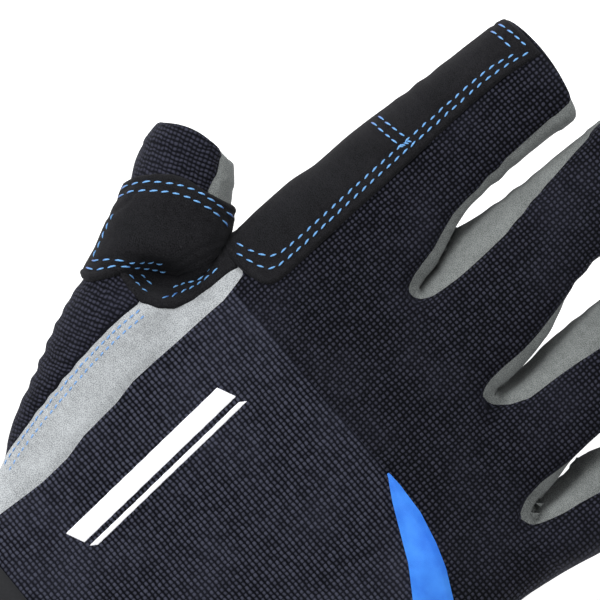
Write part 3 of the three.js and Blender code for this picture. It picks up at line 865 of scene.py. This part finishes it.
def stitch_row(corners, lift, stitch, seed):
    """stitches along a line in plan; lift gives the cloth's height over the form"""
    path = smooth_path(corners)
    distance = travelled(path)

    def on_path(places):
        return [np.interp(places, distance, path[:, k]) for k in (0, 1)]

    count = max(int(distance[-1] / stitch.pitch), 1)
    middles = (np.arange(count) + 0.5) * stitch.pitch
    zones = zones_of(tops(*on_path(middles))[0])
    rng = np.random.RandomState(seed)
    spread = np.linspace(-0.5, 0.5, RINGS)
    plans = []
    for middle in middles:
        middle = middle + rng.uniform(-0.08, 0.08)
        length = stitch.length * rng.uniform(0.9, 1.08)
        x, y = on_path(middle + spread * length)
        turn = math.radians(stitch.slant + rng.uniform(-4, 4))
        dx, dy = x - x.mean(), y - y.mean()
        plans.append(np.stack([x.mean() + dx * math.cos(turn) - dy * math.sin(turn),
                               y.mean() + dx * math.sin(turn) + dy * math.cos(turn)], 1))
    points, normals = tops(*np.concatenate(plans).T)
    # stitches that miss the surface or lie on too steep a place are left out
    missed = (np.abs(field(points)) > 0.25) | (normals[:, 2] < 0.12)
    missed = missed.reshape(count, RINGS).any(1)
    points = points + normals * (wrinkle(points, normals) + lift(points))[:, None]

    arch = np.cos(spread * math.pi) ** 0.6
    thickness = (stitch.radius * np.maximum(arch, 0.28))[:, None, None]
    height = (stitch.radius * (1.15 * arch - 0.62))[:, None]
    angles = np.arange(SIDES) * 2 * math.pi / SIDES
    cosine, sine = np.cos(angles)[None, :, None], np.sin(angles)[None, :, None]
    # all stitches of a row share the last one's length in their weave coordinates
    uv = np.stack([np.repeat(spread * length, SIDES), np.tile(angles, RINGS)], 1)
    uv = np.concatenate([uv, [[-.6, 0], [.6, 0]]])
    name = "strip_stitching" if stitch.thread == "thread_pale" else "stitching"
    for k in np.flatnonzero(~missed):
        own = slice(k * RINGS, (k + 1) * RINGS)
        centres = points[own] + normals[own] * height
        tangent = unit(np.gradient(centres, axis=0))
        side = unit(np.cross(tangent, normals[own]))
        upward = np.cross(side, tangent)
        tube = centres[:, None, :] + thickness * (
            cosine * side[:, None, :] * 1.15 + sine * upward[:, None, :] * 0.85)
        tube = np.concatenate([tube.reshape(-1, 3), centres[:1] - tangent[:1] * 0.08,
                               centres[-1:] + tangent[-1:] * 0.08])
        zone = zones[k]
        add_piece(name if zone == "hand" else f"{zone}_{name}", tube, TUBE_TRIS, uv, zone,
                  stitch.thread)


TUBE_TRIS = tube_tris()


# ---------------------------------------------------------------- shader helpers
def operator(kind, swapped=False):
    def combine(self, other=0.0):
        first, second = (other, self) if swapped else (self, other)
        # the third input is unused by these operations and held at 0
        return self.shader.node("ShaderNodeMath", {0: first, 1: second, 2: 0.0}, operation=kind)
    return combine


class Value:
    """a node output on which arithmetic adds math nodes"""

    def __init__(self, shader, socket):
        self.shader, self.socket = shader, socket

    __add__, __radd__ = operator("ADD"), operator("ADD", swapped=True)
    __sub__, __rsub__ = operator("SUBTRACT"), operator("SUBTRACT", swapped=True)
    __mul__, __truediv__ = operator("MULTIPLY"), operator("DIVIDE")
    __pow__, __abs__ = operator("POWER"), operator("ABSOLUTE")
    sine, floor = operator("SINE"), operator("FLOOR")

    def clamped(self):
        self.socket.node.use_clamp = True
        return self

    def ramp(self, low, high):
        return self.shader.node("ShaderNodeMapRange", {0: self, 1: low, 2: high},
                                interpolation_type="SMOOTHSTEP")


class Shader:
    """node tree of a material or world"""

    def __init__(self, owner):
        owner.use_nodes = True
        self.owner, self.tree = owner, owner.node_tree

    def put(self, socket, value):
        if isinstance(value, Value):
            self.tree.links.new(value.socket, socket)
        else:
            socket.default_value = value

    def node(self, kind, inputs={}, output=0, **settings):
        node = self.tree.nodes.new(kind)
        for key, value in settings.items():
            setattr(node, key, value)
        for key, value in inputs.items():
            self.put(node.inputs[key], value)
        return Value(self, node.outputs[output])

    def weave(self):
        return self.node("ShaderNodeUVMap", uv_map="weave")

    def across_along(self, weave):
        node = self.node("ShaderNodeSeparateXYZ", {0: weave}).socket.node
        return Value(self, node.outputs[0]), Value(self, node.outputs[1])

    def noise(self, vector, scale, detail=2.0, roughness=0.5):
        return self.node("ShaderNodeTexNoise", {
            "Vector": vector, "Scale": scale, "Detail": detail, "Roughness": roughness})

    def mapped(self, vector, scale, turn=0.0):
        return self.node("ShaderNodeMapping", {
            "Vector": vector, "Scale": scale, "Rotation": (0, 0, turn)})

    def mix(self, share, first, second):
        return self.node("ShaderNodeMix", {0: share, 6: first, 7: second}, output=2,
                         data_type="RGBA")

    def facing(self, blend):
        return self.node("ShaderNodeLayerWeight", {0: blend}, output="Facing")

    def bump(self, height, distance, strength):
        return self.node("ShaderNodeBump", {
            "Strength": strength, "Distance": distance, "Height": height})

    def finish(self, colour, roughness, specular, normal=None, sheen=0.0,
               sheen_tint=(1, 1, 1, 1), sheen_roughness=0.4):
        inputs = self.tree.nodes["Principled BSDF"].inputs
        if normal:
            self.put(inputs["Normal"], normal)
        for key, value in {
                "Base Color": colour, "Roughness": roughness, "Sheen Weight": sheen,
                "Sheen Roughness": sheen_roughness, "Sheen Tint": sheen_tint,
                "Specular IOR Level": specular}.items():
            self.put(inputs[key], value)
        return self.owner


def material_shader(name):
    return Shader(bpy.data.materials.new(name))


def rgb(*channels):
    """8-bit sRGB to a linear colour"""
    shares = [channel / 255 for channel in channels]
    return tuple(s / 12.92 if s <= 0.04045 else ((s + 0.055) / 1.055) ** 2.4
                 for s in shares) + (1,)


# ---------------------------------------------------------------- materials
def knit(name, ground, raised, column, row, rib, sway=0.5):
    """yarn knots on a grid of column by row mm; rib joins the rows, sway bends them"""
    shader = material_shader(name)
    weave = shader.weave()
    across, along = shader.across_along(weave)
    across = across + (shader.noise(weave, scale=0.16) - 0.5) * 0.9
    along = along + (shader.noise(weave, scale=0.45, detail=1) - 0.5) * sway
    columns = abs((across * (math.pi / column)).sine()) ** 0.8
    rows = abs((along * (math.pi / row)).sine()) ** 0.8
    knot = columns * rows * (1 - rib) + rows * rib
    # every knot differs a little
    cell = shader.node("ShaderNodeCombineXYZ", {
        0: (across / column).floor(), 1: (along / row).floor()})
    tone = shader.node("ShaderNodeTexWhiteNoise", {"Vector": cell}, noise_dimensions="2D")
    yarn = shader.noise(weave, scale=9.0, detail=3, roughness=0.6)
    shade = (knot * (0.76 + tone * 0.34) * (0.70 + yarn * 0.6)).clamped()
    colour = shader.mix(shade.ramp(0.28, 1.0), ground, raised)
    mottle = shader.noise(weave, scale=0.05, detail=3).ramp(0.4, 0.75)
    colour = shader.mix(mottle * 0.18, colour, raised)
    # seen at a slant, the knots merge into one tone
    even = tuple(0.52 * low + 0.48 * high for low, high in zip(ground, raised))
    colour = shader.mix(shader.facing(0.5).ramp(0.52, 0.92) * 0.85, colour, even)
    fluff = shader.noise(weave, scale=3.2, detail=2, roughness=0.7).ramp(0.68, 0.80)
    colour = shader.mix(fluff * 0.15, colour, rgb(112, 112, 126))
    normal = shader.bump(knot + yarn * 0.25, distance=0.00042, strength=0.9)
    return shader.finish(colour, roughness=0.9, specular=0.08, normal=normal, sheen=0.012,
                         sheen_tint=(0.5, 0.55, 0.85, 1))


def suede(name, dark, light, fleck, fleck_share=0.42, sheen=0.06):
    shader = material_shader(name)
    weave = shader.weave()
    fine = shader.noise(weave, scale=4.6, detail=4, roughness=0.72)
    middle = shader.noise(weave, scale=0.85, detail=4, roughness=0.6)
    large = shader.noise(weave, scale=0.11, detail=3, roughness=0.55)
    hair = shader.noise(shader.mapped(weave, scale=(2.2, 7.5, 1), turn=0.6), scale=1.0, detail=3)
    tone = fine * 0.76 + (middle * 0.13 + large * 0.11)
    colour = shader.mix(tone.ramp(0.38, 0.62), dark, light)
    colour = shader.mix(hair.ramp(0.66, 0.76) * fleck_share, colour, fleck)
    normal = shader.bump(fine * 0.7 + hair * 0.5, distance=0.00016, strength=0.75)
    return shader.finish(colour, roughness=0.95, specular=0.08, normal=normal, sheen=sheen,
                         sheen_tint=(0.9, 0.92, 1, 1), sheen_roughness=0.5)


def blue_twill(name):
    shader = material_shader(name)
    weave = shader.weave()
    across, along = shader.across_along(weave)
    twill = ((across * 0.9 + along) * (2 * math.pi / 0.42)).sine()
    rows = ((along - across * 0.3) * (2 * math.pi / 0.37)).sine()
    large = shader.noise(weave, scale=0.16, detail=3)
    fine = shader.noise(weave, scale=6, detail=2)
    tone = large * 0.75 + fine * 0.25
    colour = shader.mix(tone.ramp(0.3, 0.72), rgb(22, 106, 222), rgb(62, 148, 250))
    colour = shader.mix((twill * rows).ramp(-0.2, 1) * 0.16, colour, rgb(24, 96, 205))
    normal = shader.bump(twill * rows, distance=0.00007, strength=0.6)
    return shader.finish(colour, roughness=0.52, specular=0.42, normal=normal, sheen=0.22,
                         sheen_tint=(0.6, 0.8, 1, 1))


def neoprene(name, dark, light):
    shader = material_shader(name)
    weave = shader.weave()
    stretched = shader.mapped(weave, scale=(2.6, 1.1, 1))
    streaks = shader.noise(stretched, scale=1.0, detail=2, roughness=0.6)
    middle = shader.noise(weave, scale=1.7, detail=3, roughness=0.7)
    large = shader.noise(weave, scale=0.08, detail=3)
    fine = shader.noise(weave, scale=5.0, detail=3, roughness=0.7)
    tone = streaks * middle * 0.55 + (large * 0.25 + fine * 0.2)
    colour = shader.mix(tone.ramp(0.2, 0.9), dark, light)
    normal = shader.bump(streaks * middle + fine * 0.3, distance=0.00012, strength=0.7)
    return shader.finish(colour, roughness=0.74, specular=0.28, normal=normal, sheen=0.06)


def tape(name, scale, randomness, roughness, sheen):
    """hook or loop tape"""
    shader = material_shader(name)
    weave = shader.weave()
    tufts = shader.node("ShaderNodeTexVoronoi", {
        "Vector": weave, "Scale": scale, "Randomness": randomness},
        output="Distance", voronoi_dimensions="2D")
    fine = shader.noise(weave, scale=7, detail=4, roughness=0.8)
    tone = tufts * 0.7 + fine * 0.4
    colour = shader.mix(tone.ramp(0.15, 0.8), rgb(44, 44, 46), rgb(15, 15, 17))
    normal = shader.bump(tone, distance=0.00035, strength=1.0)
    return shader.finish(colour, roughness=roughness, specular=0.3, normal=normal, sheen=sheen)


def thread(name, deep, light):
    shader = material_shader(name)
    weave = shader.weave()
    across, along = shader.across_along(weave)
    twist = (across * (2 * math.pi / 0.5) + along * 1.0).sine()
    fibre = shader.noise(weave, scale=4.5, detail=3, roughness=0.7)
    # painted highlight: the thread is coloured light where it faces the camera and deep at its
    # edges, with twist and fibre marks added
    crown = (1.0 - shader.facing(0.35)).ramp(0.25, 0.95)
    tone = (crown * 0.75 + (twist * 0.10 + (fibre - 0.5) * 0.5)).clamped()
    colour = shader.mix(tone, deep, light)
    normal = shader.bump(twist + fibre, distance=0.00006, strength=0.7)
    return shader.finish(colour, roughness=0.38, specular=0.6, normal=normal, sheen=0.1)


def white_print(name):
    shader = material_shader(name)
    fine = shader.noise(shader.weave(), scale=3.0, detail=4, roughness=0.7)
    colour = shader.mix(fine.ramp(0.3, 0.7), rgb(236, 236, 242), rgb(252, 252, 255))
    normal = shader.bump(fine, distance=0.00008, strength=0.6)
    return shader.finish(colour, roughness=0.55, specular=0.35, normal=normal)


MATERIALS = {
    "knit": knit("knit_knuckle", ground=rgb(5, 6, 10), raised=rgb(54, 55, 67),
                 column=1.0, row=1.02, rib=0.06),
    "knit_lower": knit("knit_lower_back", ground=rgb(7, 8, 14), raised=rgb(66, 68, 82),
                       column=1.0, row=1.02, rib=0.40),
    "knit_thumb": knit("knit_thumb", ground=rgb(8, 9, 14), raised=rgb(54, 55, 68),
                       column=0.97, row=0.93, rib=0.40, sway=1.0),
    "suede_black": suede("suede_black", dark=rgb(8, 8, 9), light=rgb(37, 37, 40),
                         fleck=rgb(92, 92, 94), sheen=0.02),
    "suede_grey": suede("suede_grey", dark=rgb(80, 83, 82), light=rgb(136, 140, 139),
                        fleck=rgb(172, 175, 173), fleck_share=0.378),
    "suede_strip": suede("suede_strip", dark=rgb(116, 119, 121), light=rgb(194, 198, 201),
                         fleck=rgb(226, 228, 229)),
    "insert_blue": blue_twill("insert_blue"),
    "neoprene": neoprene("neoprene", dark=rgb(20, 21, 24), light=rgb(44, 45, 50)),
    "binding": neoprene("binding", dark=rgb(16, 16, 18), light=rgb(36, 37, 41)),
    "loop": tape("loop_tape", scale=1.7, randomness=1.0, roughness=0.9, sheen=0.15),
    "hook": tape("hook_tape", scale=1.2, randomness=0.15, roughness=0.5, sheen=0),
    # each thread's light colour is its painted highlight; deep is the thread's own blue at its
    # edges
    "thread_blue": thread("thread_blue", deep=rgb(20, 76, 168), light=rgb(122, 188, 238)),
    "thread_pale": thread("thread_pale", deep=rgb(64, 112, 186), light=rgb(138, 184, 232)),
    "print_white": white_print("print_white"),
}

# ---------------------------------------------------------------- panels
BASE = surface()
above, below = more(Z, SEAM), less(Z, SEAM)
past_wrist, before_wrist = more(Y, 0), less(Y, 0)


def finger_nodes(side, **others):
    nodes = {f"{finger}_{part}": [f"{finger}_{part}_{side}"]
             for finger in FINGERS for part in ("base", "tip")}
    return {**nodes, **others}


panel("lower_back_panel", [above, past_wrist, *outside(STRIP, THUMB_SIDE, KNUCKLE, BLUE)],
      "knit_lower", {"hand": ["lower_back_panel"]})
panel("side_insert", [above, inside(BLUE)], "insert_blue", {"hand": ["side_insert"]}, fine=1)
panel("thumb_gusset_strip", [above, past_wrist, inside(STRIP)], "suede_strip",
      {"hand": ["thumb_gusset_strip"]})
panel("back_knit", [above, past_wrist, inside(THUMB_SIDE), *outside(THUMB_GREY)], "knit_thumb",
      {"hand": ["thumb_base_back_panel"], "thumb": ["thumb_tip_back"]})
panel("side_suede", [above, past_wrist, inside(THUMB_SIDE), inside(THUMB_GREY)], "suede_grey")
panel("back", [above, inside(KNUCKLE), *outside(STRIP, THUMB_SIDE, *FOURCHETTES.values(), BLUE)],
      "knit", finger_nodes("back", hand=["knuckle_panel"]))
for (low, high), outline in FOURCHETTES.items():
    nodes = {"hand": [f"{low}_{high}_fourchette_fold"]}
    for part in ("base", "tip"):
        nodes[f"{low}_{part}"] = [f"{low}_{part}_{high}_side_fourchette"]
        nodes[f"{high}_{part}"] = [f"{high}_{part}_{low}_side_fourchette"]
    panel(f"fourchette_{low}_{high}", [above, inside(outline)], "suede_grey", nodes)
panel("palm", [below, past_wrist], "suede_grey",
      finger_nodes("palm", hand=["palm_panel"], thumb=["thumb_tip_palm"]))
panel("cuff_back", [above, before_wrist], "neoprene", {"hand": ["cuff_back"]})
panel("cuff_palm", [below, before_wrist], "neoprene", {"hand": ["cuff_palm"]})

# patches sewn on top
overlay("patch", [inside(INDEX_PATCH), more(Z, 6.5)], "suede_black", INDEX_LAYER,
        {"hand": ["index_root_patch"], "index_base": ["index_base_patch"],
         "index_tip": ["index_tip_patch"]}, rim=lambda x, y, z: rims(x, y, z) - 0.6)
overlay("thumb_patch", [inside(THUMB_PATCH), more(Z, 9)], "suede_black", THUMB_LAYER,
        {"hand": ["thumb_base_patch"], "thumb": ["thumb_tip_patch"]})
overlay("thumb_web_patch", [inside(WEB_PATCH), more(Z, 9)], "suede_black", WEB_LAYER)
overlay("palm_reinforcement", [inside(REINFORCEMENT), less(Z, 6)], "suede_black",
        Layer(0.2, 1.35, (2.2,)), fine=0)


# cuff parts
def strap_rise(points):
    """the strap's root comes down to its anchor"""
    share = step(points[:, 0], STRAP_ROOT, -17)
    return -2.75 * (1 - share * share * (3 - 2 * share)) + 0.25 * bell(points[:, 0], 1, 3)


def strap_end(x, y, z):
    """rounded free end of the strap"""
    half_straight = (STRAP_HIGH - STRAP_LOW) / 2 - STRAP_CORNER
    dy = np.maximum(np.abs(y - STRAP_MIDDLE) - half_straight, 0)
    dx = np.maximum(-17.5 - x, 0)
    return STRAP_CORNER - np.sqrt(dx * dx + dy * dy)


strap_width = [more(Y, STRAP_LOW), less(Y, STRAP_HIGH)]
hook_width = [more(Y, STRAP_LOW + HOOK_MARGIN), less(Y, STRAP_HIGH - HOOK_MARGIN)]
overlay("cuff_binding", [less(Y, -41.6)], "binding", Layer(-0.2, 0.95),
        rim=lambda x, y, z: rims(x, y, z) + 0.5)
overlay("loop_patch", [more(Z, 18), *strap_width, more(X, -30), less(X, 8)], "loop",
        Layer(0.1, 1.25, (1.4,)))
overlay("strap_anchor", [more(Z, 12), *strap_width, more(X, 27.2)], "neoprene",
        Layer(0.1, 1.5, (1.6, 3.4)))
overlay("wrist_strap", [more(Z, 18), less(X, STRAP_ROOT), strap_end], "neoprene",
        Layer(3.1, 4.5, (1.4, 3.0)), rise=strap_rise, hand_zone="strap_root")
overlay("hook_patch", [more(Z, 18), *hook_width, less(X, -1), more(X, -21.5)], "hook",
        Layer(1.7, 3.0), fine=0, hand_zone="strap")


# ---------------------------------------------------------------- stitching
def on_layer(outline, layer):
    def lift(points):
        distance = outline_distance(outline, points[:, 0], points[:, 1])
        return layer_height(np.maximum(distance, 0.9), layer) + 0.02
    return lift


def on_strip(points):
    return 0.12


ON_INDEX = on_layer(INDEX_PATCH, INDEX_LAYER)
ON_THUMB = on_layer(THUMB_PATCH, THUMB_LAYER)
ON_WEB = on_layer(WEB_PATCH, WEB_LAYER)
# stitch, what it lies on, line in plan
ROWS = [
    (LONG, ON_INDEX, [
        (-38.5, 152.3), (-39.4, 147), (-39.9, 140.5), (-39.3, 120), (-38.6, 103), (-37.9, 90),
        (-37.8, 83.6), (-38.4, 81.6), (-41.2, 80.2), (-44.5, 79), (-46.8, 78.5)]),
    (LONG, ON_INDEX, [
        (-39.9, 149.7), (-40.9, 145), (-41.1, 140.3), (-40.7, 120), (-40.1, 103), (-39.6, 92),
        (-39.5, 86.2), (-39.9, 83.9), (-41.5, 82.6), (-43.9, 81.1), (-47, 80.1)]),
    (CLOSE, ON_INDEX, [(-47.9, 119.7), (-45, 120.1), (-40.7, 121.1)]),
    (CLOSE, ON_INDEX, [(-47.9, 117.8), (-45, 118.1), (-40.9, 118.9)]),
    (CLOSE, ON_INDEX, [(-46.3, 151.2), (-43.8, 152.0), (-39, 152.5)]),
    (CLOSE, ON_INDEX, [(-46.4, 149.0), (-44, 149.6), (-40.2, 149.8)]),
    (PLAIN, ON_THUMB, [
        (-70.2, 67.4), (-70.3, 70), (-69.7, 72), (-68.8, 74), (-67.4, 75.6), (-65.8, 77.1),
        (-64.1, 78.7), (-62.3, 79.8), (-61, 80.6), (-59, 81.1), (-55.4, 82), (-52.9, 82.1),
        (-50.6, 81)]),
    (PLAIN, ON_THUMB, [
        (-69.6, 65.6), (-69.2, 69), (-68.5, 71), (-67.4, 72.8), (-65.7, 74.5), (-64.2, 76.2),
        (-62.5, 77.4), (-61, 78.5), (-58.8, 79.2), (-56.7, 80), (-54, 80.3), (-51.8, 79.8),
        (-49.9, 78.4), (-49.4, 76.2)]),
    (PLAIN, ON_THUMB, [
        (-63.2, 55.2), (-62.4, 55.5), (-61.8, 56.8), (-60.4, 58.8), (-59.4, 60.8),
        (-58.4, 63.1), (-56.9, 65.2), (-55, 66.9), (-53.4, 67.9)]),
    (PLAIN, ON_THUMB, [
        (-62.9, 53.3), (-61.3, 53.8), (-60.4, 55.4), (-59.7, 57.4), (-58.6, 59.4),
        (-57.5, 61.6), (-56.0, 63.6), (-54.2, 65.2), (-52.9, 66.3), (-51.3, 67.3)]),
    (PLAIN, ON_THUMB, [(-67.3, 65.4), (-65.3, 61), (-63.9, 57.9), (-63.0, 55.7)]),
    (PLAIN, ON_WEB, [(-57.1, 58.3), (-55.1, 58.3), (-53.2, 58.2), (-51.2, 58.7), (-49.6, 59.6)]),
    (PLAIN, ON_WEB, [(-55.8, 60.1), (-53.3, 60.0), (-51.3, 60.3), (-49.9, 61.2)]),
    (PLAIN, ON_WEB, [
        (-48.5, 60.4), (-47.1, 61.9), (-46.4, 63.9), (-45.7, 66.3), (-45.2, 68.7),
        (-45.1, 71.1), (-45, 73.3), (-44.9, 76)]),
    (PLAIN, ON_WEB, [
        (-48.3, 63.2), (-47.6, 65), (-47.1, 67), (-46.9, 69), (-46.8, 71.2), (-46.7, 73.6),
        (-46.6, 75.6)]),
]
# twin rows inside the grey strip's thumb-side edge
edge = [(-50.8, 56.2)] + STRIP_THUMB_EDGE[3:9] + [(-43.6, 12.5)]
for inward in (1.2, 2.7):
    ROWS.append((PALE, on_strip, [(x + inward, y) for x, y in edge]))
for i, (stitch, lift, line) in enumerate(ROWS):
    stitch_row(line, lift, stitch, seed=i + 1)
# a bar of close stitches where the cross rows end
stitch_row([(-40.6, 118.6), (-40.1, 121.5)], ON_INDEX, BAR, seed=77)


# ---------------------------------------------------------------- printed mark
def slanted_bar(left, right, low, high):
    """a bar with its ends cut at a slant, in coordinates turned about the mark's centre"""
    corners = ((left, low), (right, low + 1.6), (right, high), (left, high - 1.6))
    return [(-22.5 + 0.9978 * across - 0.0665 * along, 37.4 + 0.0665 * across + 0.9978 * along)
            for across, along in corners]


for outline in (slanted_bar(left=-3.2, right=0.9, low=-22.5, high=22.5),
                slanted_bar(left=2.0, right=3.2, low=-20.8, high=23.6)):
    panel("printed_bars", [inside(outline), above], "print_white", layer=Layer(-0.1, 0.22),
          rim=None, fine=2)


# ---------------------------------------------------------------- objects
def make_object(name, piece):
    points, tris, uv = (np.concatenate(piece[key]) for key in ("points", "tris", "uv"))
    points[:, 1] -= REST_Y
    points *= MM
    if name in frame["nodes"]:
        name = name + "_fabric"
    mesh = bpy.data.meshes.new(name)
    mesh.vertices.add(len(points))
    mesh.vertices.foreach_set("co", points.astype(np.float32).ravel())
    mesh.loops.add(len(tris) * 3)
    mesh.loops.foreach_set("vertex_index", tris.astype(np.int32).ravel())
    mesh.polygons.add(len(tris))
    mesh.polygons.foreach_set("loop_start", np.arange(0, len(tris) * 3, 3, dtype=np.int32))
    mesh.polygons.foreach_set("loop_total", np.full(len(tris), 3, np.int32))
    mesh.update(calc_edges=True)
    mesh.validate()
    mesh.polygons.foreach_set("use_smooth", np.ones(len(mesh.polygons), bool))
    material = piece["material"]
    if not material.startswith("thread"):
        mesh.set_sharp_from_angle(angle=math.radians(48))
    layer = mesh.uv_layers.new(name="weave")
    corners = np.empty(len(mesh.loops), np.int32)
    mesh.loops.foreach_get("vertex_index", corners)
    layer.data.foreach_set("uv", uv[corners].astype(np.float32).ravel())
    mesh.materials.append(MATERIALS[material])
    thing = bpy.data.objects.new(name, mesh)
    bpy.context.scene.collection.objects.link(thing)
    zone = piece["zone"]
    if zone in BLEND:
        body, next_body, start, end = BLEND[zone]
        world(start)
        world(end)
        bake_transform(thing)
    else:
        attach(thing, zone)
    if piece["nodes"]:
        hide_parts(*sorted(piece["nodes"]))


for name, piece in PIECES.items():
    make_object(name, piece)


# ---------------------------------------------------------------- floor, world, lights, camera
def floor_material():
    """pale, faintly glowing, and clear when seen from below"""
    shader = material_shader("floor")
    place = shader.node("ShaderNodeTexCoord", output="Object")
    colour = shader.mix(shader.noise(place, scale=3, detail=2) * 0.1,
                        (0.93, 0.93, 0.93, 1), (0.90, 0.90, 0.90, 1))
    shader.finish(colour, roughness=0.9, specular=0.05)
    nodes = shader.tree.nodes
    bsdf = nodes["Principled BSDF"]
    bsdf.inputs["Emission Color"].default_value = (1, 1, 1, 1)
    bsdf.inputs["Emission Strength"].default_value = 0.4
    result = shader.node("ShaderNodeMixShader", {
        0: shader.node("ShaderNodeNewGeometry", output="Backfacing"),
        1: Value(shader, bsdf.outputs[0]),
        2: shader.node("ShaderNodeBsdfTransparent")})
    shader.put(nodes["Material Output"].inputs["Surface"], result)
    return shader.owner


def make_floor(half=4, height=-0.075):
    """lies well below the glove, so bent fingers stay in sight"""
    mesh = bpy.data.meshes.new("floor")
    mesh.from_pydata([(-half, -half, height), (half, -half, height), (half, half, height),
                      (-half, half, height)], [], [(0, 1, 2, 3)])
    floor = bpy.data.objects.new("floor", mesh)
    bpy.context.scene.collection.objects.link(floor)
    mesh.materials.append(floor_material())
    floor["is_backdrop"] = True


def make_world():
    """white, brighter to the camera than to the glove"""
    studio = bpy.data.worlds.new("studio")
    bpy.context.scene.world = studio
    shader = Shader(studio)
    seen = shader.node("ShaderNodeLightPath", output="Is Camera Ray")
    strength = shader.node("ShaderNodeMapRange", {0: seen, 3: 0.60, 4: 1.05})
    background = shader.tree.nodes["Background"]
    shader.put(background.inputs[0], (1, 1, 1, 1))
    shader.put(background.inputs[1], strength)


TARGET = Vector((-0.0299, 0.0327, 0.014))
VIEW_TURN = math.radians(50)            # of the camera about z
VIEW_RIGHT = Vector((math.cos(VIEW_TURN), math.sin(VIEW_TURN), 0))
VIEW_UP = Vector((-math.sin(VIEW_TURN), math.cos(VIEW_TURN), 0))


def area_light(name, right, up, height, size, power):
    """a disk aimed at the target, placed from it along the view's axes"""
    light = bpy.data.lights.new(name, "AREA")
    light.shape = "DISK"
    light.size = size
    light.energy = power
    lamp = bpy.data.objects.new(name, light)
    lamp.location = TARGET + VIEW_RIGHT * right + VIEW_UP * up + Vector((0, 0, height))
    lamp.rotation_euler = (TARGET - lamp.location).to_track_quat("-Z", "Y").to_euler()
    bpy.context.scene.collection.objects.link(lamp)


def make_camera():
    """looks straight down from 1.5 m"""
    camera = bpy.data.cameras.new("camera")
    camera.sensor_width = 36
    camera.lens = 432
    camera.clip_start = 0.01
    holder = bpy.data.objects.new("camera", camera)
    bpy.context.scene.collection.objects.link(holder)
    holder.location = TARGET + Vector((0, 0, 1.5))
    holder.rotation_euler = (0, 0, VIEW_TURN)
    bpy.context.scene.camera = holder


make_floor()
make_world()
area_light("key", right=-0.45, up=0.30, height=0.50, size=0.32, power=3.8)
area_light("fill", right=0.5, up=0.1, height=0.6, size=0.5, power=1.9)
area_light("rim", right=0.05, up=0.6, height=0.35, size=0.3, power=0.9)
make_camera()
bpy.context.scene.view_settings.view_transform = "Standard"


def plain(box):
    """bounds as plain dicts, lists and floats"""
    if isinstance(box, dict):
        return {key: plain(value) for key, value in box.items()}
    try:
        return [plain(value) for value in box]
    except TypeError:       # a single number can't be looped over
        return float(box)


{"cad": plain(CAD_BOX), "visual": plain(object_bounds())}
